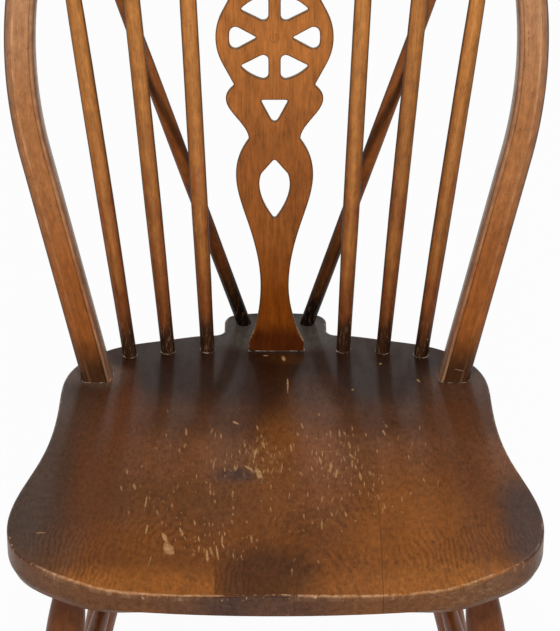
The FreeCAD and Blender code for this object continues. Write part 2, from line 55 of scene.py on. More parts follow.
class Wire:
    def __init__(self, tree, socket=None):
        self.tree = tree
        self.socket = socket

    def make(self, kind, settings=None, sockets=None, output=0):
        node = self.tree.nodes.new(kind)
        for name, value in (settings or {}).items():
            if name == "stops":
                points = node.mapping.curves[0].points
                while len(points) < len(value):
                    points.new(0.5, 0.5)
                for point, place in zip(points, value):
                    point.location = place
                node.mapping.update()
            else:
                setattr(node, name, value)
        entries = sockets.items() if isinstance(sockets, dict) else enumerate(sockets or [])
        for key, value in entries:
            if isinstance(value, Wire):
                self.tree.links.new(value.socket, node.inputs[key])
            else:
                node.inputs[key].default_value = value
        return Wire(self.tree, node.outputs[output] if len(node.outputs) else None)

    def also(self, output):  # another output of the same node
        return Wire(self.tree, self.socket.node.outputs[output])

    def maths(self, operation, *values):
        return self.make("ShaderNodeMath", {"operation": operation}, values)

    def __add__(self, other):
        return self.maths("ADD", self, other)

    def __radd__(self, other):
        return self.maths("ADD", other, self)

    def __sub__(self, other):
        return self.maths("SUBTRACT", self, other)

    def __rsub__(self, other):
        return self.maths("SUBTRACT", other, self)

    def __mul__(self, other):
        return self.maths("MULTIPLY", self, other)

    def __rmul__(self, other):
        return self.maths("MULTIPLY", other, self)

    def __truediv__(self, other):
        return self.maths("DIVIDE", self, other)

    def most(self, other):
        return self.maths("MAXIMUM", self, other)

    def least(self, other):
        return self.maths("MINIMUM", self, other)

    def size(self):
        return self.maths("ABSOLUTE", self)

    def wave(self, gap):
        return self.maths("SINE", self * (math.tau / gap))

    def swing(self, reach):  # a noise as a swing to either side of nothing
        return (self - 0.5) * reach

    def between(self, low, high):  # low where this wire is 0, high where it is 1
        return low + self * (high - low)

    def step(self, low, high):  # 0 at low, 1 at high, smooth between
        return self.make("ShaderNodeMapRange", {"interpolation_type": "SMOOTHSTEP"}, [self, low, high, 0.0, 1.0])

    def near(self, middle, reach, soft):  # 1 within reach of the middle
        return 1.0 - (self - middle).size().step(reach - soft, reach + soft)

    def vector(self, operation, other=(0, 0, 0), output=0):
        return self.make("ShaderNodeVectorMath", {"operation": operation}, [self, other], output)

    def scaled(self, x, y, z):
        return self.vector("MULTIPLY", (x, y, z))

    def moved(self, x, y, z):
        return self.vector("ADD", (x, y, z))

    def times(self, level):  # a vector times a number
        return self.make("ShaderNodeVectorMath", {"operation": "SCALE"}, {"Vector": self, "Scale": level})

    def length(self):
        return self.vector("LENGTH", output="Value")

    def axis(self, name):
        return self.make("ShaderNodeSeparateXYZ", {}, [self], name)

    def within(self, middle, turn, half):  # coordinates in which an oval mark reaches from -1 to 1
        sockets = {"Vector": self, "Location": (*middle, 0), "Rotation": (0, 0, turn), "Scale": (*half, 1)}
        return self.make("ShaderNodeMapping", {"vector_type": "TEXTURE"}, sockets)

    def noise(self, scale, detail=2.0, roughness=0.5, distortion=0.0, output="Fac"):
        even = not isinstance(scale, tuple)
        sockets = {"Vector": self if even else self.scaled(*scale), "Scale": scale if even else 1.0,
                   "Detail": detail, "Roughness": roughness, "Distortion": distortion}
        return self.make("ShaderNodeTexNoise", {}, sockets, output)

    def spots(self, scale, detail, roughness, low, high):  # a noise cut to patches between two levels
        return self.noise(scale, detail, roughness).step(low, high)

    def tint(self, first, second):  # this wire is the factor between two colours
        first, second = (end if isinstance(end, Wire) else colour(*end) for end in (first, second))
        return self.make("ShaderNodeMix", {"data_type": "RGBA"}, {0: self, 6: first, 7: second}, 2)

    def over(self, base, after, share):  # lays a share of a colour over the base where this mask is
        return (self * share).tint(base, after)

    def shaded(self, level):  # this colour times a plain number
        settings = {"data_type": "RGBA", "blend_type": "MULTIPLY"}
        return self.make("ShaderNodeMix", settings, {0: 1.0, 6: self, 7: level}, 2)


def colour(red, green, blue):  # from screen values, 0 to 255
    def linear(value):
        share = value / 255
        return share / 12.92 if share <= 0.04045 else ((share + 0.055) / 1.055) ** 2.4
    return (linear(red), linear(green), linear(blue), 1.0)


# Wood: every finish starts from the same grain, read from each piece's own grain attribute, whose z runs
# along the fibres. Colours are screen values. A noise is its scale, detail and roughness, and spots have
# two levels more. A layer is a colour, how much of it covers, how deep it lies, and its masks, which are
# multiplied. A mask is a measure of the wood and what is done with it in turn

beech = {
    "broad": ((95, 95, 5), 3.0, 0.55, 0.4), "broadDepth": 0.5, "fibre": ((820, 820, 36), 4.0, 0.6),
    "fibreDepth": 0.7, "blotch": ((19, 19, 11), 3.0, 0.55), "blotchDepth": 0.35,
    "mottle": ((230, 230, 95), 5.0, 0.7), "mottleDepth": 1.35,
    "pores": ((1000, 1000, 90), 2.0, 0.5, 0.58, 0.70), "poreDepth": 0.16,
    "relief": {"fibre": 0.6, "broad": 0.25, "pores": 0.5}, "dullness": {"blotch": 0.2, "pores": 0.1},
    "roughness": 0.42, "specular": 0.05, "coat": 0.22, "coatRoughness": 0.2, "bump": 0.22, "bumpDepth": 0.0002,
    "wander": ("blotch", ("swing", 0.03)), "stainsAndPaintedLight": [],
}


def openMaterial(name):
    material = bpy.data.materials.new(name)
    material.use_nodes = True
    material.node_tree.nodes.clear()
    return material, Wire(material.node_tree)


def closeMaterial(start, base, roughness, height, look, coat):
    bump = start.make("ShaderNodeBump", {}, {"Strength": look["bump"], "Distance": look["bumpDepth"],
                                             "Height": height}, "Normal")
    shader = start.make("ShaderNodeBsdfPrincipled", {}, {
        "Base Color": base, "Roughness": roughness, "Normal": bump, "IOR": 1.5,
        "Specular IOR Level": look["specular"], "Coat Weight": coat, "Coat Roughness": look["coatRoughness"],
    }, "BSDF")
    start.make("ShaderNodeOutputMaterial", {}, {"Surface": shader})


def stored(start, name, output="Fac"):  # an attribute of the mesh
    return start.make("ShaderNodeAttribute", {"attribute_name": name}, {}, output)


def placeOf(start):  # place on the object, in metres
    return start.make("ShaderNodeTexCoord", {}, {}, "Object")


def openWood(name, look):  # a new material, and how light, rough and high its wood is from place to place
    material, start = openMaterial(name)
    grain, place = stored(start, "grain", "Vector"), placeOf(start)
    broad, fibre, blotch, mottle = (grain.noise(*look[layer]) for layer in ("broad", "fibre", "blotch", "mottle"))
    pores = grain.spots(*look["pores"])
    tone = 1.0 + broad.swing(look["broadDepth"]) + fibre.swing(look["fibreDepth"])
    tone = tone + blotch.swing(look["blotchDepth"]) + mottle.swing(look["mottleDepth"]) - pores * look["poreDepth"]
    relief, dullness = look["relief"], look["dullness"]
    height = fibre * relief["fibre"] + broad * relief["broad"] - pores * relief["pores"]
    roughness = look["roughness"] + blotch.swing(dullness["blotch"]) + pores * dullness["pores"]
    return SimpleNamespace(material=material, start=start, grain=grain, place=place, tone=tone, blotch=blotch,
                           height=height, roughness=roughness, rise=place.axis("Z") - seatTop)


def measured(wood, measure, *steps):
    wire = getattr(wood, measure)
    for kind, *numbers in steps:
        wire = getattr(wire, kind)(*numbers)
    return wire


def masked(wood, masks):
    product = measured(wood, *masks[0])
    for mask in masks[1:]:
        product = product * measured(wood, *mask)
    return product


def lay(wood, layers):  # layers over the base colour, each sunk by its depth
    for after, share, depth, *masks in layers:
        mask = masked(wood, masks)
        wood.base = mask.over(wood.base, getattr(wood, after) if isinstance(after, str) else after, share)
        if depth:
            wood.height = wood.height - mask * depth


def rising(level, look):  # a colour that changes with the level: from, to and the colour, in turn
    base = look["foot"]
    for low, high, after in look["heights"]:
        base = level.step(low, high).tint(base, after)
    return base


def finished(wood, look):  # colour by height, partly dirt and partly painted shade, stains and painted light in the wood, its grain, and wear and painted light over it
    wood.base = rising(wood.rise + measured(wood, *look["wander"]), look)
    lay(wood, look["stainsAndPaintedLight"])
    wood.base = wood.base.shaded(wood.tone)
    lay(wood, look["wear"])
    coat = look["coat"] * masked(wood, look["coatMasks"]) if "coatMasks" in look else look["coat"]
    closeMaterial(wood.start, wood.base, wood.roughness, wood.height, look, coat)
    return wood.material


# Helpers for pieces

def placed(name, data):
    holder = bpy.data.objects.new(name, data)
    bpy.context.scene.collection.objects.link(holder)
    return holder


def pieceFrom(name, mesh, material, slot, *nodes):
    piece = placed(name, mesh)
    mesh.materials.clear()
    mesh.materials.append(material)
    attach(piece, "root")
    if nodes:
        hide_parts(*nodes)


def smoothed(mesh, angle):  # smooth faces, sharp where they turn by more than the angle
    mesh.shade_smooth()
    mesh.set_sharp_from_angle(angle=angle)


def rowsOf(items, field="vector"):  # a row of numbers for each vertex or normal
    values = np.zeros(len(items) * 3, np.float32)
    items.foreach_get(field, values)
    return values.reshape(-1, 3)


def store(mesh, name, values):
    values = np.asarray(values, np.float32)
    kind, field = ("FLOAT", "value") if values.ndim == 1 else ("FLOAT_VECTOR", "vector")
    mesh.attributes.new(name, kind, "POINT").data.foreach_set(field, values.ravel())


def storeGrain(mesh, origin, along, shift):
    # solid coordinates in the piece's own wood: x and y across the fibres, z along them
    turn = np.array(Vector(along).rotation_difference(Vector((0, 0, 1))).to_matrix())
    store(mesh, "grain", (rowsOf(mesh.vertices, "co") - np.array(origin)) @ turn.T + shift)


def sawn(mesh, *cuts):  # takes off what is past each plane, given by a point and a direction, and caps it
    work = bmesh.new()
    work.from_mesh(mesh)
    for place, way in cuts:
        everything = work.verts[:] + work.edges[:] + work.faces[:]
        cut = bmesh.ops.bisect_plane(work, geom=everything, plane_co=place, plane_no=way, clear_outer=True)
        edges = [item for item in cut["geom_cut"] if isinstance(item, bmesh.types.BMEdge)]
        bmesh.ops.contextual_create(work, geom=edges)
    bmesh.ops.recalc_face_normals(work, faces=work.faces)
    work.to_mesh(mesh)
    work.free()


def polyCurve(name, loops, closed):
    data = bpy.data.curves.new(name, "CURVE")
    data.dimensions = "3D"
    for loop in loops:
        spline = data.splines.new("POLY")
        spline.points.add(len(loop) - 1)
        for point, place in zip(spline.points, loop):
            point.co = (*place, 1.0)
        spline.use_cyclic_u = closed
    return placed(name, data)


def evaluated(holder):  # the holder's mesh with its modifiers, as a plain mesh, and the holder removed
    graph = bpy.context.evaluated_depsgraph_get()
    mesh = bpy.data.meshes.new_from_object(holder.evaluated_get(graph))
    bpy.data.objects.remove(holder)
    return mesh


def grown(holder, tree, values):  # what a tree makes of the holder
    modifier = holder.modifiers.new("grown", "NODES")
    modifier.node_group = tree
    for item in tree.interface.items_tree:
        if item.item_type == "SOCKET" and item.in_out == "INPUT" and item.name in values:
            modifier[item.identifier] = values[item.name]
    return evaluated(holder)


def openTree(name, **inputs):  # inputs: their kinds, by name; a wire comes back for each
    tree = bpy.data.node_groups.new(name, "GeometryNodeTree")
    tree.interface.new_socket("Geometry", in_out="OUTPUT", socket_type="NodeSocketGeometry")
    for label, kind in inputs.items():
        label = "".join(" " + letter.lower() if letter.isupper() else letter for letter in label).capitalize()
        tree.interface.new_socket(label, in_out="INPUT", socket_type="NodeSocket" + kind)
    source = tree.nodes.new("NodeGroupInput")
    return tree, Wire(tree), *(Wire(tree, source.outputs[k]) for k in range(len(inputs)))


def closeTree(tree, geometry, material):
    real = geometry.make("GeometryNodeRealizeInstances", {}, {"Geometry": geometry})
    painted = real.make("GeometryNodeSetMaterial", {}, {"Geometry": real, "Material": material})
    output = tree.nodes.new("NodeGroupOutput")
    tree.links.new(painted.socket, output.inputs[0])
    return tree


def captured(geometry, kind, value):  # a value that stays with the geometry: the geometry and the value
    tree = geometry.tree
    held = tree.nodes.new("GeometryNodeCaptureAttribute")
    held.capture_items.new(kind, "kept")
    tree.links.new(geometry.socket, held.inputs[0])
    tree.links.new(value.socket, held.inputs[1])
    return Wire(tree, held.outputs[0]), Wire(tree, held.outputs[1])


def pointsOf(node):
    return np.array([v.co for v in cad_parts[node].data.vertices])


# Sticks: brown, redder below, nearly black at the foot, partly dirt and partly painted shade, with small pale chips,
# a painted highlight towards the middle of the chair and painted shade on their flanks. Heights are in metres above
# the seat, and "turned" is 1 towards the middle of the chair and -1 away from it

stickMasks = {
    "red": (("place", ("spots", (55, 55, 30), 3.0, 0.5, 0.46, 0.66)), ("rise", ("step", 0.26, 0.14)),
            ("rise", ("step", 0.03, 0.09))),
    # a painted highlight: a paler strip on the side of each stick turned towards the middle of the chair
    "paintedHighlight": (("turned", ("near", 0.1, 0.3, 0.3)), ("rise", ("step", 0.0, 0.12)), ("blotch", ("between", 0.5, 1.5))),
    # painted shade: each stick darker on its flanks that face left and right
    "side": ("turned", ("size",), ("step", 0.74, 0.97)),
    "dust": (("place", ("spots", (560, 560, 120), 3.0, 0.6, 0.52, 0.72)), ("rise", ("step", 0.075, 0.02))),
}
stickBasics = {
    **beech, "wander": ("grain", ("noise", (60, 60, 26), 3.0), ("swing", 0.05)),
    "coatMasks": [("turned", ("size",), ("step", 0.95, 0.6))],
}
spindleLook = {
    **stickBasics, "broadDepth": 0.6, "fibreDepth": 1.0, "poreDepth": 0.12, "coat": 0.26, "coatRoughness": 0.26,
    "foot": (56, 31, 17),
    # darker towards the foot, partly dirt and partly painted shade
    "heights": [(0.0192, 0.048, (124, 65, 28)), (0.048, 0.115, (162, 98, 42)), (0.115, 0.33, (182, 116, 55))],
    # the second colour here is a painted highlight
    "stainsAndPaintedLight": [((132, 66, 32), 0.6, 0, *stickMasks["red"]), ((200, 138, 78), 0.34, 0, *stickMasks["paintedHighlight"]),
               # the second stick on the right is darkest
               ((66, 32, 14), 0.32, 0, ("place", ("axis", "X"), ("near", 105 * mm, 15 * mm, 60 * mm)),
                ("blotch", ("between", 0.75, 1.25)), ("rise", ("step", 0.03, 0.12)))],
    # the first colour here is painted shade on the flanks
    "wear": [((46, 24, 11), 0.86, 0, stickMasks["side"]),
             ((176, 140, 106), 0.75, 0.6, ("place", ("spots", (300, 300, 210), 3.0, 0.6, 0.715, 0.735))),
             ((176, 140, 106), 0.3, 0, *stickMasks["dust"])],
}
braceLook = {
    **stickBasics, "coat": 0.16, "foot": (18, 10, 6), "spindleShadowFrom": 0.222, "turnsPerMetre": 16.0,
    # darker towards the foot, partly dirt and partly painted shade
    "heights": [(0.022, 0.055, (58, 32, 12)), (0.055, 0.15, (140, 80, 36)), (0.15, 0.3, (142, 82, 40))],
    # the second colour here is a painted highlight
    "stainsAndPaintedLight": [((120, 60, 28), 0.6, 0, *stickMasks["red"]), ((160, 98, 48), 0.2, 0, *stickMasks["paintedHighlight"]),
               # a painted shadow of the spindle in front: a dark streak that winds round the stick
               ((46, 22, 5), 0.8, 0, ("winding", ("step", 0.8, 0.15)), ("rise", ("near", 0.212, 0.055, 0.03)))],
    # the first colour here is painted shade on the flanks
    "wear": [((40, 22, 10), 0.7, 0, stickMasks["side"]),
             ((150, 104, 62), 0.75, 0.6, ("place", ("spots", (300, 300, 210), 3.0, 0.6, 0.76, 0.78))),
             ((150, 104, 62), 0.3, 0, *stickMasks["dust"])],
}
# legs and stretchers are dark just under the seat, a painted shade, and at the floor
legLook = {
    **beech, "coat": 0.18, "foot": (52, 30, 18), "wander": ("blotch", ("swing", -0.03)),
    "heights": [(-0.022, -0.045, (122, 68, 34)), (-0.05, -0.3, (134, 76, 38))],
    "wear": [((52, 30, 18), 0.5, 0, ("place", ("axis", "Z"), ("step", 0.03, 0.004))),
             ((170, 124, 84), 0.7, 0.6, ("place", ("spots", (240, 240, 150), 3.0, 0.6, 0.72, 0.74)))],
}


def stickFinish(name, look):
    wood = openWood(name, look)
    wood.turned = stored(wood.start, "turn")
    # the brace's painted shadow of the spindle in front, winding round it
    if "spindleShadowFrom" in look:
        wood.winding = (wood.turned - (look["spindleShadowFrom"] - wood.rise) * look["turnsPerMetre"]).size()
    return finished(wood, look)


# Every stick, stretcher and leg is turned: a tree sweeps its profile along its line. Profiles hold places
# along the piece and radii; a place below 0 counts back from the far end

turning = {
    "sides": 40, "rings": 140, "uneven": 0.25 * mm, "unevenNoise": (40.0, 2.0), "sharp": math.radians(50),
    "grainStep": 0.37, "slacks": (1.5 * mm, 0.3 * mm, 0.06 * mm, 0.02 * mm),
}
stations = {  # in mm
    "spindle": [(0.0, 6.1), (19, 6.1), (165, 7.2), (-110, 7.0), (-24, 5.8), (-0.0001, 5.8)],
    "brace": [(0.0, 6.1), (19, 6.1), (228, 6.7), (-24, 5.8), (-0.0001, 5.8)],
    "sideStretcher": [(0.0, 7.5), (18, 7.5), (161, 10.8), (-18, 7.5), (-0.0001, 7.5)],
    "crossStretcher": [(0.0, 6.5), (18, 6.5), (173, 9.6), (-18, 6.5), (-0.0001, 6.5)],
    "leg": [(0.0, 11), (20, 11), (48, 13.2), (80, 15.8), (153, 18.2), (280, 14), (363, 12.4)],
}
profiles = {name: [(at * mm, radius * mm) for at, radius in rows] for name, rows in stations.items()}
legShape = {"overrun": 30 * mm, "foot": 11 * mm, "floor": 0.0}


def capCentre(points, axis, end, slack):
    reach = points @ axis * end
    cap = points[reach > reach.max() - slack]
    return (cap.min(axis=0) + cap.max(axis=0)) / 2


def stickEnds(node):  # the middles of a turned node's two flat ends, lower end first
    points = pointsOf(node)
    axis = points[points[:, 2].argmax()] - points[points[:, 2].argmin()]
    for slack in turning["slacks"]:
        axis = axis / np.linalg.norm(axis)
        first, last = capCentre(points, axis, -1, slack), capCentre(points, axis, 1, slack)
        axis = last - first
    return Vector(first), Vector(last)


def crossEnds(node):  # the cross stretcher lies level, from side to side
    low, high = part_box(node)
    middle = (low + high) / 2
    return Vector((low.x, middle.y, middle.z)), Vector((high.x, middle.y, middle.z))


def legEnds(node):  # the middle of the top, and where the same line meets the floor
    points = pointsOf(node)
    foot = points[points[:, 2] < 0.01 * mm]
    foot = Vector((foot.min(axis=0) + foot.max(axis=0)) / 2)
    axis = (Vector(points[points[:, 2].argmax()]) - foot).normalized()
    for slack in turning["slacks"]:
        top = Vector(capCentre(points, np.array(axis), 1, slack))
        axis = (top - foot).normalized()
    return top, foot


def turnedTree(name, stations, length):
    largest = max(radius for _, radius in stations)
    tree, source, start, end, widest, sides, rings, uneven, material = openTree(
        name, start="Vector", end="Vector", largestRadius="Float", sides="Int", rings="Int", unevenness="Float",
        material="Material")
    line = source.make("GeometryNodeCurvePrimitiveLine", {}, {"Start": start, "End": end})
    line = source.make("GeometryNodeResampleCurve", {}, {"Curve": line, "Count": rings})
    share = source.make("GeometryNodeSplineParameter", {}, {}, "Factor")
    profile = [(at / length, radius / largest) for at, radius in stations]
    radius = source.make("ShaderNodeFloatCurve", {"stops": profile}, {"Value": share})
    circle = source.make("GeometryNodeCurvePrimitiveCircle", {}, {"Resolution": sides, "Radius": 1.0})
    body = source.make("GeometryNodeCurveToMesh", {}, {
        "Curve": line, "Profile Curve": circle, "Scale": radius * widest, "Fill Caps": True})
    wobble = source.make("GeometryNodeInputPosition").noise(*turning["unevenNoise"])
    push = source.make("GeometryNodeInputNormal").times(wobble.swing(uneven))
    body = source.make("GeometryNodeSetPosition", {}, {"Geometry": body, "Offset": push})
    return closeTree(tree, body, material)


def turned(name, node, stations, material, slot, order, ends=None):
    first, last = ends or stickEnds(node)
    length = (last - first).length
    places = [(at if at >= 0 else length + at, radius) for at, radius in stations]
    holder = placed(name + "Line", bpy.data.meshes.new(name + "Line"))
    mesh = grown(holder, turnedTree(name + "Turning", places, length), {
        "Start": first, "End": last, "Largest radius": max(radius for _, radius in places),
        "Sides": turning["sides"], "Rings": turning["rings"], "Unevenness": turning["uneven"], "Material": material})
    if slot == "legs" and last.z < legShape["floor"]:
        sawn(mesh, ((0, 0, legShape["floor"]), (0, 0, -1)))
    smoothed(mesh, turning["sharp"])
    storeGrain(mesh, first, last - first, order * turning["grainStep"])
    # how far the surface is turned to the middle of the chair
    store(mesh, "turn", rowsOf(mesh.vertex_normals)[:, 0] * (-1 if first.x > 0 else 1))
    pieceFrom(name, mesh, material, slot, node)


spindleWood = stickFinish("stickWood", spindleLook)
braceWood = stickFinish("braceWood", braceLook)
legWood = finished(openWood("legWood", legLook), legLook)
order = 0
for side in ("left", "right"):
    for place in (1, 2, 3):
        order += 1
        turned(f"spindle{side.title()}{place}", f"spindle_{side}_{place}", profiles["spindle"], spindleWood,
               "sticks", order)
    turned("brace" + side.title(), "brace_" + side, profiles["brace"], braceWood, "sticks", order + 1)
    order += 2
    turned("sideStretcher" + side.title(), "side_stretcher_" + side, profiles["sideStretcher"], legWood,
           "legs", order)
order += 1
turned("crossStretcher", "cross_stretcher", profiles["crossStretcher"], legWood, "legs", order,
       crossEnds("cross_stretcher"))
for side in ("left", "right"):
    for end in ("front", "rear"):
        order += 1
        node = f"leg_{end}_{side}"
        top, foot = legEnds(node)
        bottom = foot - (top - foot).normalized() * legShape["overrun"]
        straight = [((top - point).length, legShape["foot"]) for point in (foot, bottom)]
        turned(f"leg{end.title()}{side.title()}", node, profiles["leg"] + straight, legWood, "legs", order,
               (top, bottom))
print("sticks, stretchers and legs turned")


# Bow: three arcs a side, swept with its moulded section. It has a flat face between two quirks, its arrises are worn
# pale, partly as a painted highlight, it darkens towards its feet, partly dirt and partly painted shade, and it is
# greyish towards the crown, a painted sheen

bowShape = {
    "footX": 153.3 * mm, "footY": seatFront + 327.5 * mm, "lean": math.radians(10.5), "straight": 206.4 * mm,
    "splay": math.radians(13.7), "sideRadius": 388.6 * mm, "sidePast": math.radians(7.3),
    "shoulderRadius": 145.2 * mm, "crownRadius": 321.6 * mm, "stepLength": 4 * mm, "fewest": 6,
    "width": 26 * mm, "depth": 18 * mm, "flat": 7 * mm, "quirk": 1 * mm, "quirkInner": 0.6 * mm,
    "quirkOuter": 0.25 * mm, "quirkProfile": ((0.25, 0.75), (0.5, 1), (0.75, 0.7)), "beadDrop": 0.2 * mm,
    "frontRound": 4.6 * mm, "backRound": 4 * mm, "backPoints": (4 * mm, 0.0, -4 * mm),
    "below": 6 * mm, "pull": 0.0025, "pullUpTo": 0.4, "sharp": math.radians(28),
}
bowLook = {
    **beech, "coat": 0.25, "broadDepth": 0.3, "poreDepth": 0.08, "wander": ("blotch", ("swing", 0.05)),
    "foot": (69, 39, 17),
    # darker towards the feet, partly dirt and partly painted shade, and greyish at the crown, a painted sheen
    "heights": [(0.008, 0.058, (149, 83, 31)), (0.075, 0.210, (167, 107, 60)), (0.200, 0.360, (180, 128, 88))],
    # places across the bow are below 0 on its inner side; "proud" is towards the sitter
    # inner: the colours of the inner side, low and high, greyer higher up: a painted sheen
    "upper": (0.06, 0.30), "front": (3.5 * mm, 5.0 * mm), "inner": ((142, 112, 90), (164, 142, 126)),
    # the outer moulding is faint low down
    "faint": [("across", ("step", 0.0, 1 * mm)), ("high", ("between", 0.9, 0.0))],
    "bead": ("across", ("near", -9.2 * mm, 0.8 * mm, 0.6 * mm), ("between", 0.0, 0.5)),
    "arris": [("across", ("near", 6.0 * mm, 1.0 * mm, 0.6 * mm)), ("high", ("between", 0.2, 0.75))],
    "crackSway": ("grain", ("noise", (300, 300, 0)), ("swing", 1.2 * mm)),
    "stainsAndPaintedLight": [
        # the greyish shoulders and the greyish inner side are painted sheen
        ((128, 92, 70), 0.6, 0, ("across", ("size",), ("step", 7.9 * mm, 8.9 * mm)), ("outer",)),
        ("innerColour", 1.0, 0, ("across", ("step", -11.5 * mm, -12.3 * mm)),
         ("rise", ("step", 0.0, 0.07), ("between", 0.5, 0.9))),
        # a dark strip beside the inner bead, the quirks, the bead and arris worn pale and partly a painted highlight,
        # and the outer rim darkened, painted shade
        ((70, 42, 26), 1.0, 0, ("across", ("near", -11.3 * mm, 0.4 * mm, 0.4 * mm)),
         ("high", ("between", 0.35, 0.55))),
        ((50, 30, 18), 0.26, 0.8, ("across", ("size",), ("near", 7.7 * mm, 0.4 * mm, 0.35 * mm)), ("front",),
         ("outer",)),
        # the bead and arris: worn pale, and partly a painted highlight
        ((198, 150, 110), 1.0, 0, ("pale",), ("front",),
         ("grain", ("spots", (120, 120, 26), 4.0, 0.65, 0.40, 0.60), ("between", 0.15, 0.85))),
        # the darkened outer rim: painted shade
        ((56, 42, 32), 0.85, 0, ("across", ("step", 11.2 * mm, 12.4 * mm)), ("proud", ("step", -2 * mm, 2 * mm))),
    ],
    "wear": [
        # flecks, chips, and the crack across the front of the right foot
        ((96, 48, 30), 0.6, 0, ("grain", ("spots", (360, 360, 150), 2.0, 0.6, 0.67, 0.74))),
        ((198, 150, 110), 0.8, 0.5, ("grain", ("spots", (330, 330, 120), 3.0, 0.6, 0.725, 0.75)),
         ("across", ("size",), ("step", 5 * mm, 7 * mm))),
        ((176, 140, 112), 0.6, 1.0, ("cracked", ("near", 11 * mm, 0.3 * mm, 0.3 * mm)),
         ("across", ("near", 1.8 * mm, 3.8 * mm, 0.3 * mm)), ("place", ("axis", "X"), ("step", 0, 1 * mm)),
         ("front",)),
    ],
}


def bowFinish(look):
    wood = openWood("bowWood", look)
    wood.proud, wood.across = wood.grain.axis("X"), wood.grain.axis("Y")
    wood.high, wood.front = wood.rise.step(*look["upper"]), wood.proud.step(*look["front"])
    wood.outer = 1.0 - masked(wood, look["faint"])
    wood.innerColour = wood.high.tint(*look["inner"])
    wood.pale = measured(wood, *look["bead"]) + masked(wood, look["arris"])
    wood.cracked = wood.grain.axis("Z") - bowShape["below"] + measured(wood, *look["crackSway"])
    return finished(wood, look)


def onArc(centre, radius, angle):
    return (centre[0] + radius * math.cos(angle), centre[1] + radius * math.sin(angle))


def bowHalf():  # flat outline of the right half, from the foot to the crown
    b = bowShape
    start = (b["footX"] + b["straight"] * math.sin(b["splay"]), b["straight"] * math.cos(b["splay"]))
    side = (start[0] - b["sideRadius"] * math.cos(b["splay"]), start[1] + b["sideRadius"] * math.sin(b["splay"]))
    shoulder = onArc(side, b["sideRadius"] - b["shoulderRadius"], b["sidePast"])
    drop = math.sqrt((b["crownRadius"] - b["shoulderRadius"]) ** 2 - shoulder[0] ** 2)
    crown = (0.0, shoulder[1] - drop)
    meet = math.atan2(drop, shoulder[0])
    arcs = [(side, b["sideRadius"], -b["splay"], b["sidePast"]),
            (shoulder, b["shoulderRadius"], b["sidePast"], meet), (crown, b["crownRadius"], meet, math.pi / 2)]
    points = [(b["footX"], 0.0)]
    for centre, radius, low, high in arcs:
        steps = max(b["fewest"], round((high - low) * radius / b["stepLength"]))
        points += [onArc(centre, radius, low + (high - low) * k / steps) for k in range(steps)]
    return points + [(0.0, crown[1] + b["crownRadius"])]


def onBow(x, along):
    lean = bowShape["lean"]
    return Vector((x, bowShape["footY"] + along * math.sin(lean), seatTop + along * math.cos(lean)))


def sectionHalf(quirkDepth):  # one half of the bow's section: across, then towards the sitter
    b = bowShape
    half, front, back = b["width"] / 2, b["depth"] / 2, -b["depth"] / 2
    lip, quirkOut = front - b["beadDrop"], b["flat"] + b["quirk"]
    points = [(b["flat"] * k / 4, front) for k in range(5)]
    points += [(b["flat"] + b["quirk"] * at, front - quirkDepth * deep) for at, deep in b["quirkProfile"]]
    wide, tall = half - quirkOut, b["frontRound"]
    points += [(quirkOut + wide * math.sin(a), lip - tall * (1 - math.cos(a)))
               for a in (math.pi / 2 * k / 8 for k in range(9))]
    points += [(half, lip - tall - (lip - tall - back - b["backRound"]) * k / 3) for k in (1, 2)]
    corner = (half - b["backRound"], back + b["backRound"])
    return points + [onArc(corner, b["backRound"], -math.pi / 2 * k / 6) for k in range(7)]


def bowSection():  # the quirk on the outer side is nearly filled with varnish
    inner = [(-x, y) for x, y in sectionHalf(bowShape["quirkInner"])[1:]]
    back = [(x, -bowShape["depth"] / 2) for x in bowShape["backPoints"]]
    return sectionHalf(bowShape["quirkOuter"]) + back + inner[::-1]


def sweepTree(name):
    tree, source, path, section, face, material = openTree(name, path="Geometry", section="Object",
                                                           face="Vector", material="Material")
    length = source.make("GeometryNodeSplineParameter", {}, {}, "Length")
    path = source.make("GeometryNodeSetCurveNormal", {"mode": "FREE"}, {"Curve": path, "Normal": face})
    path, along = captured(path, "FLOAT", length)
    section = source.make("GeometryNodeObjectInfo", {}, {"Object": section}, "Geometry")
    section, around = captured(section, "VECTOR", source.make("GeometryNodeInputPosition"))
    body = source.make("GeometryNodeCurveToMesh", {}, {"Curve": path, "Profile Curve": section, "Fill Caps": True})
    grain = source.make("ShaderNodeCombineXYZ", {}, [around.axis("X"), around.axis("Y"), along])
    body = source.make("GeometryNodeStoreNamedAttribute", {"data_type": "FLOAT_VECTOR", "domain": "POINT"},
                       {"Geometry": body, "Name": "grain", "Value": grain})
    return closeTree(tree, body, material)


def makeBow():
    b = bowShape
    bowWood = bowFinish(bowLook)
    half = bowHalf()
    outline = half + [(-x, along) for x, along in half[-2::-1]]
    path = polyCurve("bowPath", [[onBow(*p) for p in outline]], False)
    for end, side in ((0, 1), (-1, -1)):  # a little longer at each foot, then sawn off level
        foot = path.data.splines[0].points[end]
        foot.co.z -= b["below"]
        foot.co.x -= side * b["below"] * math.tan(b["splay"])
        foot.co.y -= b["below"] * math.tan(b["lean"])
    section = polyCurve("bowSectionLine", [[(proud, across, 0.0) for across, proud in bowSection()]], True)
    face = Vector((0, -math.cos(b["lean"]), math.sin(b["lean"])))
    mesh = grown(path, sweepTree("bowBending"), {"Section": section, "Face": face, "Material": bowWood})
    bpy.data.objects.remove(section)
    sawn(mesh, ((0, 0, seatTop), (0, 0, -1)))
    for point in mesh.vertices:  # the bow has pulled a little to the right
        point.co.x += b["pull"] * min(point.co.z - seatTop, b["pullUpTo"])
    smoothed(mesh, b["sharp"])
    pieceFrom("bow", mesh, bowWood, "bow", "bow")


makeBow()
print("bow bent")
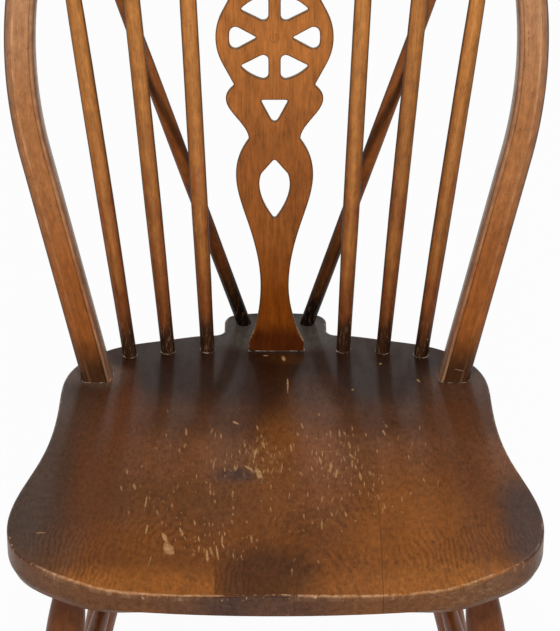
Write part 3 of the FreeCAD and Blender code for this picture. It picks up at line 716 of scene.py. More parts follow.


# Seat: its outline is read from the imported boards, its hollows follow their own rule. The boards are stained, and
# carry a painted shadow and painted reflections and sheen, the varnish is worn off in the middle, and the top is
# chipped and scratched

seatShape = {
    "middle": Vector((0, -20 * mm)), "rays": 6000, "rayDrop": 10 * mm, "around": 640,
    "topRings": 84, "spacing": 0.75, "rimInset": 8 * mm, "insetSpan": 100 * mm,
    "edgeInsets": (6.0 * mm, 4.5 * mm, 3.4 * mm), "topRound": 2.5 * mm, "roundSteps": 6, "sideSteps": 7,
    "thickness": 25.8 * mm, "underUp": 6.5 * mm, "underSteps": 4, "underRings": 12, "farInside": 1.0,
    # how far the underside is rounded in: at the sides, in front, at the front corners, and where these meet
    "underIn": 7 * mm, "underInFront": 10 * mm, "underInCorner": 3 * mm, "cornerFrom": (90 * mm, 160 * mm),
    "frontFrom": (60 * mm, 150 * mm),
    # middle, radius and depth of each hollow
    "hollows": [(0.0, -50 * mm, 158 * mm, 4.5 * mm), (-86 * mm, -198 * mm, 88 * mm, 2.6 * mm),
                (86 * mm, -198 * mm, 88 * mm, 2.6 * mm)],
    "seams": (-47.5 * mm, 83.8 * mm), "grainStep": 0.61, "sharp": math.radians(35),
    # how each board was sawn from its log: the middle of its rings and their slope
    "rings": [(-70 * mm, 28 * mm, 0.22), (30 * mm, 40 * mm, 0.16), (78 * mm, 24 * mm, 0.2)],
}
seatLook = {
    **beech, "broad": ((42, 42, 5), 3.0, 0.55, 0.4), "broadDepth": 0.4, "fibre": ((700, 700, 150), 4.0, 0.6),
    "fibreDepth": 0.8, "blotchDepth": 0.45, "pores": ((520, 520, 130), 2.0, 0.5, 0.58, 0.70), "poreDepth": 0.1,
    "mottle": ((230, 230, 150), 5.0, 0.7), "mottleDepth": 1.5, "roughness": 0.45, "coatRoughness": 0.15,
    "bump": 0.3, "bumpDepth": 0.0003,
    # the figure of the year rings, and how far the stains drift
    "figureSway": ("place", ("noise", (34, 20, 34), 3.0, 0.6), ("swing", 16 * mm)), "figureDepth": 0.17,
    "figure": [("rings", ("wave", 3.6 * mm)), ("place", ("spots", 16.0, 2.0, 0.5, 0.42, 0.62)),
               ("stained", ("axis", "Y"), ("step", -0.16, -0.02), ("between", 1.0, 0.3))],
    "drift": (9.0, 3.0, 0.55), "driftReach": 0.03,
    # the colour of the boards from front to back: y from and to, in metres; darkest at the back, a painted shadow
    "foot": (128, 74, 28),
    "heights": [(-0.210, -0.170, (107, 61, 24)), (-0.150, -0.090, (98, 58, 27)), (-0.080, -0.030, (106, 64, 35)),
                (-0.010, 0.040, (76, 43, 20)), (0.040, 0.100, (40, 21, 10))],
    # x, y, half width, half length in mm, softness, strength, board or None, colour
    "stainsAndPaintedLight": [
        # the first stain here, on the left flank, and the first on the next line, on the right flank, are greyish:
        # painted sheen
        (-196, -50, 44, 150, 0.5, 0.9, None, (62, 46, 36)), (-150, 0, 30, 120, 0.7, 0.55, None, (74, 42, 22)),
        (202, -126, 25, 66, 0.5, 0.9, None, (62, 43, 36)), (152, -10, 24, 100, 0.7, 0.6, None, (90, 47, 16)),
        (28, -14, 26, 56, 0.7, 0.55, None, (122, 76, 48)), (-36, -20, 20, 40, 0.7, 0.4, None, (112, 74, 52)),
        # the first stain here, an orange strip down the middle, is a painted reflection of the splat; the second,
        # dark before the splat, is a painted shadow
        (2, -20, 16, 108, 0.6, 0.6, None, (112, 64, 18)), (-5, 96, 17, 44, 0.6, 0.85, None, (44, 18, 2)),
        (34, 66, 22, 40, 0.7, 0.5, None, (92, 60, 42)), (24, -76, 40, 30, 0.7, 0.55, None, (120, 72, 38)),
        (-128, 46, 13, 62, 0.7, 0.5, None, (98, 50, 20)), (-148, -66, 14, 80, 0.8, 0.6, None, (98, 52, 22)),
        (-112, -216, 66, 34, 0.45, 0.9, 0, (142, 84, 33)), (-8, -200, 42, 50, 0.45, 0.9, 1, (70, 40, 20)),
        (105, -116, 44, 74, 0.7, 0.75, None, (134, 78, 30)), (122, -212, 84, 34, 0.6, 0.9, None, (146, 88, 38)),
        (56, -200, 22, 34, 0.8, 0.5, 1, (122, 70, 30)), (-31, -44, 16, 11, 0.7, 0.75, None, (60, 46, 43)),
        # the first stain here, a glow at the foot of the splat, is a painted reflection of it
        (6, 141, 14, 8, 0.7, 0.5, None, (76, 42, 13)), (-36, 170, 20, 14, 0.6, 0.6, None, (44, 29, 14)),
        # both stains here, greyish at the back, are painted sheen
        (0, 186, 70, 32, 0.3, 0.85, None, (68, 61, 54)), (-158, 108, 26, 20, 0.6, 0.8, None, (96, 72, 58)),
        (158, 96, 32, 26, 0.7, 0.65, None, (84, 54, 36)),
    ],
    # where scratches gather: x, y, half width, half length in mm, softness, how many
    "scatter": (-20, -60, 140, 130, 0.3, 0.03),
    "clusters": [(-14, -22, 36, 34, 0.4, 0.62), (52, -26, 24, 54, 0.4, 0.66), (-42, -150, 30, 20, 0.4, 0.62),
                 (-88, -100, 18, 50, 0.4, 0.3), (83, -56, 7, 52, 0.4, 0.6), (-20, -60, 96, 104, 0.4, 0.2),
                 (96, -30, 34, 70, 0.4, 0.18)],
    # fine and bold scratches: the cell that may hold one, its half width and length, its seed, how many, how strong
    "scratches": [((3.8 * mm, 12 * mm), (0.62 * mm, 4.2 * mm), 3.1, 1.0, 1.0),
                  ((8 * mm, 23 * mm), (0.95 * mm, 6.5 * mm), 17.4, 0.8, 0.9)],
    "ragged": ("place", ("noise", (900, 260, 900), 2.0), ("swing", 1.1 * mm)),
    # single marks: x, y, half width, half length in mm, turn in degrees
    "marks": [(-84.5, -154, 4.4, 8.5, 12), (-88.5, -137, 1.9, 8.0, 14), (-13.6, -38.5, 2.6, 9.2, 14),
              (-22, -30.8, 1.6, 6.0, 40), (-17, -8.9, 1.1, 7.0, -5), (-33.7, 36.1, 1.5, 4.8, 49),
              (-103, -126, 0.8, 9.0, -4), (-105, -86, 0.7, 12.5, -4), (-54, -163, 1.3, 8.8, 5),
              (45.6, -31, 1.3, 9.0, -5), (50.3, -39.5, 1.0, 9.0, -7), (62.8, -14.5, 1.2, 4.0, 18),
              (-46, -160, 0.9, 12.0, 6), (-187, -132.3, 0.8, 4.4, 95), (7, 139, 1.6, 5.0, 10),
              (-8.5, 144, 2.6, 1.2, 0), (10.5, 94, 0.8, 14, 0), (66, 87, 1.3, 1.6, 0), (91, 130, 1.4, 1.8, 0),
              (123, 102, 1.0, 3.0, 20)],
    "markRagged": ("place", ("noise", (420, 230, 420), 4.0, 0.65), ("swing", 1.7)), "markEdge": (0.6, 1.05),
    "smudges": [(-12, -30, 24, 24, 0.6, 1.0), (42, -26, 18, 26, 0.6, 0.6)],
    "smudged": ("place", ("spots", (230, 110, 230), 4.0, 0.65, 0.50, 0.68), ("between", 0.0, 0.4)),
    "fading": [("place", ("spots", 300.0, 2.0, 0.5, 0.3, 0.6), ("between", 0.55, 1.0)),
               ("band", ("between", 1.0, 0.0))],
    "bare": [((184, 142, 96), 0.8, 1.2, ("marks",)), ("edge", 1.0, 0, ("band",))], "markDull": 0.25,
    # the upright edge: its colours, and the scuffs at its corner, low down and all along it
    "band": (0.7 * mm, 1.6 * mm), "edge": ((122, 78, 47), (79, 57, 48)), "scuff": (150, 116, 82),
    "greys": [("place", ("spots", 22.0, 3.0, 0.5, 0.3, 0.7), ("between", 0.0, 0.4)),
              ("across", ("near", -18 * mm, 45 * mm, 35 * mm), ("between", 0.0, 0.6))],
    "scuffNoise": ((260, 260, 500), 3.0, 0.65), "corner": (151, -190, 30, 40, 0.5),
    "cornerScuffs": [("scuffs", ("step", 0.40, 0.66), ("between", 0.0, 0.35)),
                     ("scuffs", ("step", 0.56, 0.70), ("between", 0.0, 0.3))],
    "lowScuffs": [("across", ("near", 55 * mm, 55 * mm, 15 * mm)), ("fall", ("step", 16 * mm, 20 * mm)),
                  ("scuffs", ("step", 0.55, 0.66), ("between", 0.0, 0.6))],
    "allScuffs": ("scuffs", ("step", 0.68, 0.74), ("between", 0.0, 0.5)),
    "under": (104, 70, 46), "underFrom": (24.5 * mm, 25.6 * mm), "underTone": 0.6,
    # the worn line along the top edge, its two stretches left and right, and where it is broken
    "left": ("across", ("near", -116 * mm, 72 * mm, 8 * mm)),
    "right": ("across", ("near", 95 * mm, 92 * mm, 10 * mm)),
    "ease": ("depth", ("step", -120 * mm, -178 * mm)), "wornOften": (0.40, 0.24, 0.14),
    "worn": ("place", ("noise", (110, 110, 0), 4.0, 0.6)), "wornEdge": (-0.06, 0.05), "lineInset": 1.5 * mm,
    "lineSway": ("place", ("noise", (90, 90, 0), 3.0), ("swing", 2.2 * mm)), "lineHalf": 0.45 * mm,
    "wear": [
        # the worn line, the shadow under it, chips, and the seams
        ((198, 156, 118), 0.78, 0.6, ("line", ("step", 2.0, 0.0)), ("worn",),
         ("place", ("spots", (260, 260, 0), 3.0, 0.6, 0.40, 0.64), ("between", 0.4, 1.0))),
        ((48, 22, 8), 0.65, 0, ("drop", ("near", 1.1 * mm, 0.5 * mm, 0.4 * mm)),
         ("across", ("near", -34 * mm, 52 * mm, 10 * mm)), ("ease",)),
        ((198, 156, 118), 0.75, 1.0, ("place", ("spots", (210, 210, 84), 3.0, 0.6, 0.60, 0.65)),
         ("inset", ("step", 3.0 * mm, 1.0 * mm)),
         ("across", ("near", -25 * mm, 85 * mm, 15 * mm), ("between", 0.3, 1.0))),
        ((34, 20, 12), 0.5, 0.8, ("seam", ("step", 0.5 * mm, 0.15 * mm)),
         ("depth", ("step", -0.15, -0.02), ("between", 1.0, 0.15)),
         ("across", ("step", 0, 50 * mm), ("between", 0.35, 1.0))),
    ],
    # the varnish that is left: in the middle, at the back with a bare strip, and at the sides
    "coatBack": [("depth", ("step", -40 * mm, 60 * mm)),
                 ("across", ("near", -4 * mm, 24 * mm, 14 * mm), ("between", 1.0, 0.15)),
                 ("place", ("spots", (52, 15, 52), 4.0, 0.65, 0.34, 0.62), ("between", 0.35, 1.0))],
    "coatShares": (0.05, 0.3),
    "coatSide": ("across", ("size",), ("step", 140 * mm, 190 * mm), ("between", 0.0, 0.14)),
    "coatMasks": [("marks", ("between", 1.0, 0.2)), ("blotch", ("between", 0.75, 1.25))],
}


def patch(place, middleX, middleY, halfX, halfY, soft):
    oval = place.moved(-middleX * mm, -middleY * mm, 0).scaled(1 / (halfX * mm), 1 / (halfY * mm), 0).length()
    return 1.0 - oval.step(1.0 - soft, 1.0 + soft)


def streaks(place, ragged, cell, half, seed, share):  # short scratches along the grain, in some of the cells
    grid = place.scaled(1 / cell[0], 1 / cell[1], 0).moved(seed, seed * 1.7, 0)
    middle = grid.make("ShaderNodeTexVoronoi", {"voronoi_dimensions": "2D"},
                       {"Vector": grid, "Scale": 1.0, "Randomness": 0.9}, "Position")
    chance = middle.also("Color")
    offset = grid.vector("SUBTRACT", middle).scaled(cell[0], cell[1], 0)
    along = offset.axis("Y") / (half[1] * (0.35 + chance.axis("Z")))
    across = offset.axis("X") + chance.axis("Y").swing(0.5) * offset.axis("Y") + ragged
    body = (1.0 - along * along) * half[0] * (0.5 + chance.axis("Y")) - across.size()
    chosen = (share - chance.axis("X")).step(0.0, 0.02)
    return body.step(0.0, 0.3 * mm) * chosen * chance.axis("Z").between(0.4, 1.0)


def scratches(wood, look):  # bare wood: short scratches, single marks and rubbed smudges
    *scatter, few = look["scatter"]
    share = patch(wood.place, *scatter) * few
    for *where, many in look["clusters"]:
        share = share.most(patch(wood.stained, *where) * many)
    ragged, marks = measured(wood, *look["ragged"]), 0.0
    for cell, half, seed, often, strength in look["scratches"]:
        marks = (streaks(wood.place, ragged, cell, half, seed, share * often) * strength).most(marks)
    ragged = measured(wood, *look["markRagged"])
    for middleX, middleY, halfX, halfY, turn in look["marks"]:
        oval = wood.place.within((middleX * mm, middleY * mm), math.radians(turn), (halfX * mm, halfY * mm))
        marks = marks.most(1.0 - (oval.scaled(1, 1, 0).length() + ragged).step(*look["markEdge"]))
    smudge = 0.0
    for *where, strength in look["smudges"]:
        smudge = (patch(wood.stained, *where) * strength).most(smudge)
    return marks.most(smudge * measured(wood, *look["smudged"])) * masked(wood, look["fading"])


def edgeColour(wood, look):
    grey, middle = (measured(wood, *mask) for mask in look["greys"])
    wood.scuffs = wood.place.noise(*look["scuffNoise"])
    light, strong = (measured(wood, *mask) for mask in look["cornerScuffs"])
    scuff = (patch(wood.place, *look["corner"]) * (light + strong)).most(masked(wood, look["lowScuffs"]))
    scuff = scuff.most(measured(wood, *look["allScuffs"]))
    return scuff.tint((grey + middle).tint(*look["edge"]).shaded(wood.tone), look["scuff"])


def seatFinish(look):
    wood = openWood("seatWood", look)
    place, start = wood.place, wood.start
    wood.across, wood.depth, wood.fall = place.axis("X"), place.axis("Y"), seatTop - place.axis("Z")
    board = stored(start, "rings", "Vector")
    drift = place.noise(*look["drift"], output="Color").moved(-0.5, -0.5, -0.5)
    wood.stained = place.vector("ADD", drift.scaled(look["driftReach"], look["driftReach"], 0))
    wood.base = rising(wood.stained.axis("Y"), look)
    for *where, strength, only, after in look["stainsAndPaintedLight"]:
        share = patch(wood.stained, *where) * strength
        if only is not None:
            share = share * board.axis("Z").near(only, 0.4, 0.05)
        wood.base = share.tint(wood.base, after)
    wood.rings = board.scaled(1, 1, 0).length() + measured(wood, *look["figureSway"])
    wood.base = wood.base.shaded(wood.tone + masked(wood, look["figure"]) * look["figureDepth"])

    wood.drop = stored(start, "drop")  # how far below the top face, hollows apart
    wood.band = wood.drop.step(*look["band"])
    wood.marks = scratches(wood, look)
    wood.edge = edgeColour(wood, look)
    lay(wood, look["bare"])
    below = wood.fall.step(*look["underFrom"])
    wood.base = below.tint(wood.base, look["under"]).shaded(1.0 + (wood.tone - 1.0) * below * look["underTone"])

    wood.inset = stored(start, "inset")  # how far inside the seat's outline
    left, right, wood.ease = (measured(wood, *look[name]) for name in ("left", "right", "ease"))
    often, moreLeft, moreRight = look["wornOften"]
    often = often + (left * moreLeft + right * moreRight) * wood.ease
    wood.worn = (measured(wood, *look["worn"]) + often - 1.0).step(*look["wornEdge"])
    thick = ((left + right) * wood.ease + 1.0) * look["lineHalf"]
    wood.line = (wood.inset - look["lineInset"] - measured(wood, *look["lineSway"])).size() / thick
    first, second = ((wood.across - seam).size() for seam in seatShape["seams"])
    wood.seam = first.least(second)
    lay(wood, look["wear"])

    coat = masked(wood, look["coatBack"]).between(*look["coatShares"]) + measured(wood, *look["coatSide"])
    closeMaterial(start, wood.base, wood.roughness + wood.marks * look["markDull"], wood.height, look,
                  coat * masked(wood, look["coatMasks"]))
    return wood.material


def seatOutline():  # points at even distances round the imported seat
    soup, faces = [], []
    for name in ("left", "centre", "right"):
        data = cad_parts["seat_board_" + name].data
        base = len(soup)
        soup += [v.co.copy() for v in data.vertices]
        faces += [tuple(base + k for k in p.vertices) for p in data.polygons]
    solid = BVHTree.FromPolygons(soup, faces)
    found = []
    for k in range(seatShape["rays"]):
        angle = math.tau * k / seatShape["rays"]
        outward = Vector((math.cos(angle), math.sin(angle), 0))
        origin = Vector((*seatShape["middle"], seatTop - seatShape["rayDrop"])) + outward
        found.append(solid.ray_cast(origin, -outward)[0].xy)
    gaps = [(found[k] - found[k - 1]).length for k in range(len(found))]
    total = sum(gaps)
    outline, walked, index = [], 0.0, 0
    for k in range(seatShape["around"]):
        target = total * k / seatShape["around"]
        while walked + gaps[(index + 1) % len(gaps)] < target:
            index += 1
            walked += gaps[index % len(gaps)]
        share = (target - walked) / gaps[(index + 1) % len(gaps)]
        outline.append(found[index % len(found)].lerp(found[(index + 1) % len(found)], share))
    return outline


def hollowDepth(x, y):
    depth = 0.0
    for centreX, centreY, radius, deep in seatShape["hollows"]:
        away = math.hypot(x - centreX, y - centreY)
        if away < radius:
            depth = max(depth, deep * (1 + math.cos(math.pi * away / radius)) / 2)
    return depth


def ramp(value, low, high):
    share = min(1.0, max(0.0, (value - low) / (high - low)))
    return share * share * (3 - 2 * share)


def underIn(point):  # how far the underside is rounded in
    s = seatShape
    side = ramp(abs(point.x), *s["cornerFrom"])
    front = s["underInFront"] * (1 - side) + s["underInCorner"] * side
    share = ramp(-point.y, *s["frontFrom"])
    return s["underIn"] * (1 - share) + front * share


def seatRings(outline):  # rings of points from the middle of the top, over the edge, to the middle below
    s = seatShape
    count = len(outline)
    inward = []
    for k in range(count):
        run = outline[(k + 1) % count] - outline[k - 1]
        inward.append(Vector((-run.y, run.x)).normalized())

    def inset(distance, drop):
        return [(p + n * distance, drop, distance) for p, n in zip(outline, inward)]

    rim = [p + n * s["rimInset"] for p, n in zip(outline, inward)]
    rings = []
    for k in range(1, s["topRings"] + 1):
        share = (k / s["topRings"]) ** s["spacing"]
        rings.append([(s["middle"].lerp(p, share), 0.0, s["rimInset"] + (1 - share) * s["insetSpan"]) for p in rim])
    rings += [inset(distance, 0.0) for distance in s["edgeInsets"]]
    for k in range(s["roundSteps"] + 1):
        angle = math.pi / 2 * k / s["roundSteps"]
        rings.append(inset(s["topRound"] * (1 - math.sin(angle)), s["topRound"] * (1 - math.cos(angle))))
    straight = s["thickness"] - s["underUp"] - s["topRound"]
    steps = s["sideSteps"]
    rings += [inset(0.0, s["topRound"] + straight * k / steps) for k in range(1, steps + 1)]
    under = [underIn(p) for p in outline]
    for k in range(1, s["underSteps"] + 1):
        share = k / s["underSteps"]
        drop = s["thickness"] - s["underUp"] * (1 - share)
        rings.append([(p + n * reach * share, drop, s["farInside"]) for p, n, reach in zip(outline, inward, under)])
    lowRim = [p + n * reach for p, n, reach in zip(outline, inward, under)]
    for k in range(1, s["underRings"]):
        share = 1 - k / s["underRings"]
        rings.append([(s["middle"].lerp(p, share), s["thickness"], s["farInside"]) for p in lowRim])
    return rings


def seatMesh():
    s = seatShape
    rings = seatRings(seatOutline())
    count = s["around"]
    places, insets, drops = [], [], []
    for ring in rings:
        for p, drop, distance in ring:
            under = drop > s["thickness"] - s["underUp"] - 0.1 * mm
            z = seatTop - drop - (0 if under else hollowDepth(p.x, p.y) * (1 - drop / s["thickness"]))
            places.append((p.x, p.y, z))
            insets.append(distance if drop < s["topRound"] * 2 else s["farInside"])
            drops.append(drop)
    topMiddle, lowMiddle = len(places), len(places) + 1
    x, y = s["middle"]
    places += [(x, y, seatTop - hollowDepth(x, y)), (x, y, seatTop - s["thickness"])]
    insets += [s["farInside"]] * 2
    drops += [0.0, s["thickness"]]
    faces = []
    last = (len(rings) - 1) * count
    for k in range(count):
        after = (k + 1) % count
        faces.append((topMiddle, k, after))
        faces += [(a + k, a + count + k, a + count + after, a + after) for a in range(0, last, count)]
        faces.append((last + k, lowMiddle, last + after))
    mesh = bpy.data.meshes.new("seat")
    mesh.from_pydata(places, [], faces)
    store(mesh, "inset", insets)
    store(mesh, "drop", drops)
    return mesh


def makeSeat():
    seatWood = seatFinish(seatLook)
    whole = seatMesh()
    left, right = (Vector((seam, 0, 0)) for seam in seatShape["seams"])
    east, west = Vector((1, 0, 0)), Vector((-1, 0, 0))
    cuts = {"left": [(left, east)], "centre": [(left, west), (right, east)], "right": [(right, west)]}
    for index, (name, planes) in enumerate(cuts.items()):
        mesh = whole.copy()
        mesh.name = "seatBoard" + name.title()
        sawn(mesh, *planes)
        smoothed(mesh, seatShape["sharp"])
        storeGrain(mesh, (0, 0, seatTop), (0, 1, 0), index * seatShape["grainStep"])
        middle, deep, slope = seatShape["rings"][index]
        x, y = rowsOf(mesh.vertices, "co")[:, :2].T
        store(mesh, "rings", np.column_stack([x - middle, deep + (y - seatFront) * slope, np.full(len(x), index)]))
        pieceFrom("seatBoard" + name.title(), mesh, seatWood, "seat", "seat_board_" + name)
    bpy.data.meshes.remove(whole)


makeSeat()
print("seat boards cut")


# Splat: the imported board, its edges softened. Even orange brown, dark at its foot, partly dirt and partly painted
# shade, with greyish edges, a painted sheen, and dark outlines, painted shade

splatShape = {
    "voxel": 0.85 * mm, "smoothing": 2, "merge": 0.001 * mm, "grainShift": 0.2, "rimSteps": 3,
    "foot": Vector((-0.8 * mm, seatFront + 374.5 * mm, seatTop)), "footAside": 1.6 * mm, "footHigh": 60 * mm,
}
splatLook = {
    **beech, "fibreDepth": 1.1, "broadDepth": 0.45, "poreDepth": 0.06, "coat": 0.16,
    "mottle": ((230, 230, 60), 5.0, 0.7), "foot": (80, 34, 6),
    # darker towards the foot, partly dirt and partly painted shade
    "heights": [(0.012, 0.030, (126, 62, 12)), (0.045, 0.110, (152, 87, 37)), (0.150, 0.290, (168, 102, 47))],
    # rings scribed round the wheel's hub: radius, reach, softness, strength
    "hub": 289.9 * mm, "hubRings": [(3.7 * mm, 0.4 * mm, 0.35 * mm, 1.0), (1.9 * mm, 0.3 * mm, 0.3 * mm, 0.6)],
    # the rings, the dark outline, painted shade, the greyish edges, a painted sheen, chips, and drips at the foot
    "wear": [
        ((66, 42, 22), 0.34, 0.8, ("scribed",)), ((66, 42, 22), 0.72, 0, ("rim", ("step", 0.06, 0.36))),
        ((122, 108, 84), 0.85, 0, ("edge", ("step", 0.5, 0.85))),
        ((190, 140, 92), 0.8, 0.5, ("place", ("spots", 260, 3.0, 0.6, 0.70, 0.735)), ("rim", ("step", 0.05, 0.3))),
        ((190, 140, 92), 0.6, 0, ("place", ("spots", 330, 3.0, 0.6, 0.42, 0.60)), ("rim", ("step", 0.1, 0.4)),
         ("rise", ("step", 0.034, 0.012))),
    ],
}


def splatFinish(look):
    wood = openWood("splatWood", look)
    shift = splatShape["grainShift"]
    away = wood.grain.moved(-shift, -shift, -shift - look["hub"]).scaled(1, 0, 1).length()
    outer, inner = (away.near(*where) * strength for *where, strength in look["hubRings"])
    wood.scribed = outer + inner
    wood.rim, wood.edge = stored(wood.start, "rim"), stored(wood.start, "edge")
    return finished(wood, look)


def storeEdges(mesh, face):  # edge: turned away from the sitter; rim: close to such an edge
    count = len(mesh.vertices)
    edge = 1 - np.abs(rowsOf(mesh.vertex_normals) @ np.array(face))
    links = np.zeros(len(mesh.edges) * 2, np.int32)
    mesh.edges.foreach_get("vertices", links)
    first, last = links[0::2], links[1::2]
    number = np.bincount(first, minlength=count) + np.bincount(last, minlength=count)
    rim = edge.copy()
    for _ in range(splatShape["rimSteps"]):
        total = np.bincount(first, rim[last], count) + np.bincount(last, rim[first], count)
        rim = (rim + total) / (number + 1)
    store(mesh, "edge", edge)
    store(mesh, "rim", rim)


def makeSplat():
    s = splatShape
    origin = Vector((0, s["foot"].y, seatTop))
    up = (onBow(0.0, bowHalf()[-1][1]) - origin).normalized()
    upright = up.rotation_difference(Vector((0, 0, 1))).to_matrix().to_4x4()
    work = bmesh.new()
    work.from_mesh(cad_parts["splat"].data)
    bmesh.ops.remove_doubles(work, verts=work.verts, dist=s["merge"])
    bmesh.ops.transform(work, matrix=upright @ Matrix.Translation(-origin), verts=work.verts)
    mesh = bpy.data.meshes.new("splatCopy")
    work.to_mesh(mesh)
    work.free()
    holder = placed("splatCopy", mesh)
    remesh = holder.modifiers.new("remesh", "REMESH")
    remesh.mode = "VOXEL"
    remesh.voxel_size = s["voxel"]
    smooth = holder.modifiers.new("smooth", "SMOOTH")
    smooth.factor = 0.5
    smooth.iterations = s["smoothing"]
    mesh = evaluated(holder)
    mesh.transform(Matrix.Translation(s["foot"]) @ upright.inverted())
    for point in mesh.vertices:  # its foot stands a little to the right
        point.co.x += s["footAside"] * (1 - ramp(point.co.z - seatTop, 0, s["footHigh"]))
    mesh.shade_smooth()
    storeGrain(mesh, s["foot"], up, s["grainShift"])
    storeEdges(mesh, (0, -up.z, up.y))
    pieceFrom("splat", mesh, splatFinish(splatLook), "splat", "splat")


makeSplat()
print("splat sawn")


# Old glue: wavy beads round the feet of the sticks, the bow and the splat, and crumbs of it

glueShape = {
    "stick": 6.4 * mm, "stickPoints": 24, "splatHalf": 24.3 * mm, "splatThick": 5 * mm, "gap": 0.2 * mm,
    "bead": 0.45 * mm, "beadSides": 8, "spacing": 0.8 * mm, "wave": 0.5 * mm, "waveNoise": (260.0, 2.0),
    "flatter": (1, 1, 0.3), "thick": (170.0, 2.0, 0.5, 0.40, 0.62), "thickness": (0.12, 1.02),
    "crumbs": 90, "crumb": 0.42 * mm, "smallest": 0.3, "scatter": 3.5 * mm, "seed": 7,
}
glueLook = {
    "specular": 0.4, "coat": 0.2, "coatRoughness": 0.15, "bump": 0.4, "bumpDepth": 0.0003,
    "pale": (158, 138, 114), "brown": (80, 60, 44), "noise": (420.0, 3.0, 0.6), "brownFrom": (0.40, 0.62),
    "roughness": (0.35, 0.55),
}
endLook = {
    **beech, "coat": 0.0, "pale": (140, 98, 62), "brown": (92, 60, 36),
    "noise": ((900, 900, 200), 3.0, 0.6), "brownFrom": (0.35, 0.7), "roughness": (0.6, 0.7),
}


def spottedFinish(name, look):
    material, start = openMaterial(name)
    spots = placeOf(start).noise(*look["noise"])
    base = spots.step(*look["brownFrom"]).tint(look["pale"], look["brown"])
    closeMaterial(start, base, spots.between(*look["roughness"]), spots, look, look["coat"])
    return material


def beadTree():
    g = glueShape
    tree, source, path, bead, waviness, count, crumb, scatter, seed, material = openTree(
        "glueBeads", path="Geometry", beadRadius="Float", waviness="Float", crumbs="Int", crumbRadius="Float",
        scatter="Float", seed="Int", material="Material")
    place = source.make("GeometryNodeInputPosition")
    line = source.make("GeometryNodeResampleCurve", {"mode": "LENGTH"}, {"Curve": path, "Length": g["spacing"]})
    sway = place.noise(*g["waveNoise"], output="Color").moved(-0.5, -0.5, -0.5).times(waviness)
    line = source.make("GeometryNodeSetPosition", {}, {"Geometry": line, "Offset": sway.scaled(*g["flatter"])})
    ring = source.make("GeometryNodeCurvePrimitiveCircle", {}, {"Resolution": g["beadSides"], "Radius": bead})
    thick = place.spots(*g["thick"]).between(*g["thickness"])
    beads = source.make("GeometryNodeCurveToMesh", {}, {"Curve": line, "Profile Curve": ring, "Scale": thick,
                                                        "Fill Caps": True})
    points = source.make("GeometryNodeCurveToPoints", {"mode": "COUNT"}, {"Curve": path, "Count": count})
    spread = source.make("FunctionNodeRandomValue", {"data_type": "FLOAT_VECTOR"},
                         {0: (-1, -1, 0), 1: (1, 1, 0), "Seed": seed}, 0).times(scatter)
    points = source.make("GeometryNodeSetPosition", {}, {"Geometry": points, "Offset": spread})
    grit = source.make("GeometryNodeMeshIcoSphere", {}, {"Radius": crumb, "Subdivisions": 1})
    sizes = source.make("FunctionNodeRandomValue", {"data_type": "FLOAT"},
                        {2: g["smallest"], 3: 1.0, "Seed": seed}, 1)
    crumbs = source.make("GeometryNodeInstanceOnPoints", {}, {"Points": points, "Instance": grit, "Scale": sizes})
    both = source.make("GeometryNodeJoinGeometry", {}, {"Geometry": beads})
    tree.links.new(crumbs.socket, both.socket.node.inputs[0])
    return closeTree(tree, both, material)


def footLoops():  # where the glue lies, as flat outlines at the level of the seat
    g, b = glueShape, bowShape
    loops, count = [], g["stickPoints"]
    for side in ("left", "right"):
        for place in (1, 2, 3):
            first, last = stickEnds(f"spindle_{side}_{place}")
            middle = first.lerp(last, (seatTop - first.z) / (last.z - first.z))
            loops.append([onArc(middle, g["stick"], math.tau * k / count) for k in range(count)])
    for side in (-1, 1):
        loops.append([(side * (b["footX"] + x / math.cos(b["splay"])), b["footY"] - proud / math.cos(b["lean"]))
                      for x, proud in bowSection()])
    x, y = splatShape["foot"].x + splatShape["footAside"], splatShape["foot"].y
    half, thick = g["splatHalf"], g["splatThick"] / 2 + g["gap"]
    loops.append([(x - half, y - thick), (x + half, y - thick), (x + half, y + thick), (x - half, y + thick)])
    return loops


def makeGlue():
    g = glueShape
    oldGlue = spottedFinish("oldGlue", glueLook)
    loops = [[(x, y, seatTop - hollowDepth(x, y)) for x, y in loop] for loop in footLoops()]
    mesh = grown(polyCurve("gluePath", loops, True), beadTree(), {
        "Bead radius": g["bead"], "Waviness": g["wave"], "Crumbs": g["crumbs"] // len(loops),
        "Crumb radius": g["crumb"], "Scatter": g["scatter"], "Seed": g["seed"], "Material": oldGlue})
    mesh.shade_smooth()
    pieceFrom("glueLines", mesh, oldGlue, "seat")


makeGlue()
print("glue laid")

endGrain = spottedFinish("endGrain", endLook)
for side in ("left", "right"):
    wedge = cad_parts["bow_wedge_" + side]
    wedge.data.materials.clear()
    wedge.data.materials.append(endGrain)


# Room, light and camera

stage = {
    "floorHalf": 8.0, "floorColour": (0.93, 0.93, 0.93, 1.0), "floorSeen": 0.95, "worldStrength": 0.34,
    # place, target, size and power of each lamp
    "lamps": {"keyLight": ((0.0, -1.35, 2.2), (0, 0, 0.55), 0.9, 34),
              "backLight": ((0.9, 1.6, 2.4), (0, 0, 0.5), 1.2, 10)},
}
view = {
    "place": (0.0, -2.2847, 1.8861), "down": math.radians(30.159), "focalPixels": 3242.9, "height": 631,
    "aside": 4.5, "below": 5.5, "sensor": 36.0, "farthest": 50.0,
}


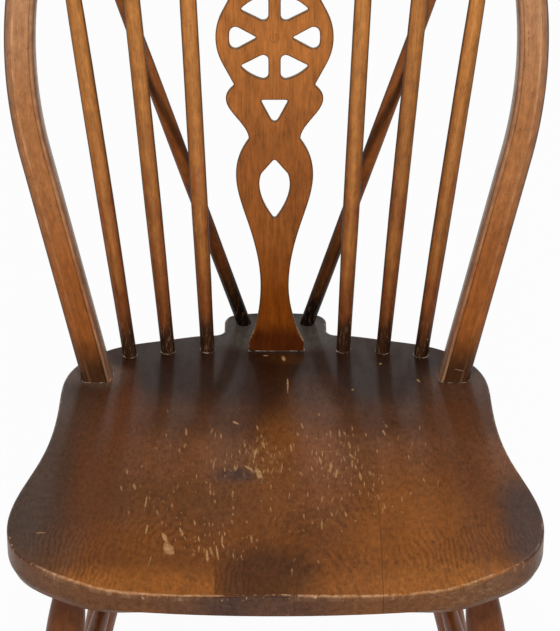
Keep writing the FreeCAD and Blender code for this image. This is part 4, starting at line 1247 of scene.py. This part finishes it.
def seenRays(start):  # the rays that should meet a white background
    camera = start.make("ShaderNodeLightPath", {}, {}, "Is Camera Ray")
    return camera.most(camera.also("Is Glossy Ray")).most(camera.also("Is Transmission Ray"))


def makeFloor():
    half = stage["floorHalf"]
    mesh = bpy.data.meshes.new("floor")
    mesh.from_pydata([(-half, -half, 0), (half, -half, 0), (half, half, 0), (-half, half, 0)], [], [(0, 1, 2, 3)])
    placed("floor", mesh)
    material, start = openMaterial("floorPaper")
    plain = start.make("ShaderNodeBsdfDiffuse", {}, {"Color": stage["floorColour"]})
    seen = start.make("ShaderNodeEmission", {}, {"Color": (1, 1, 1, 1), "Strength": 1.0})
    mixed = start.make("ShaderNodeMixShader", {}, [seenRays(start) * stage["floorSeen"], plain, seen])
    start.make("ShaderNodeOutputMaterial", {}, {"Surface": mixed})
    mesh.materials.append(material)


def makeWorld():
    world = bpy.data.worlds.new("studio")
    bpy.context.scene.world = world
    world.use_nodes = True
    world.node_tree.nodes.clear()
    start = Wire(world.node_tree)
    strength = seenRays(start).between(stage["worldStrength"], 1.0)
    light = start.make("ShaderNodeBackground", {}, {"Color": (1, 1, 1, 1), "Strength": strength})
    start.make("ShaderNodeOutputWorld", {}, {"Surface": light})


def makeLamps():
    for name, (place, target, size, power) in stage["lamps"].items():
        data = bpy.data.lights.new(name, "AREA")
        data.shape = "SQUARE"
        data.size = size
        data.energy = power
        lamp = placed(name, data)
        lamp.location = place
        lamp.rotation_euler = (Vector(target) - Vector(place)).to_track_quat("-Z", "Y").to_euler()


def makeCamera():
    data = bpy.data.cameras.new("camera")
    data.sensor_width = view["sensor"]
    data.lens = view["focalPixels"] / view["height"] * data.sensor_width
    data.shift_x = view["aside"] / view["height"]
    data.shift_y = view["below"] / view["height"]
    data.clip_end = view["farthest"]
    camera = placed("camera", data)
    camera.location = view["place"]
    camera.rotation_euler = (math.pi / 2 - view["down"], 0, 0)
    bpy.context.scene.camera = camera


makeFloor()
makeWorld()
makeLamps()
makeCamera()
bpy.context.scene.view_settings.view_transform = "Standard"
print("room, lights and camera set")
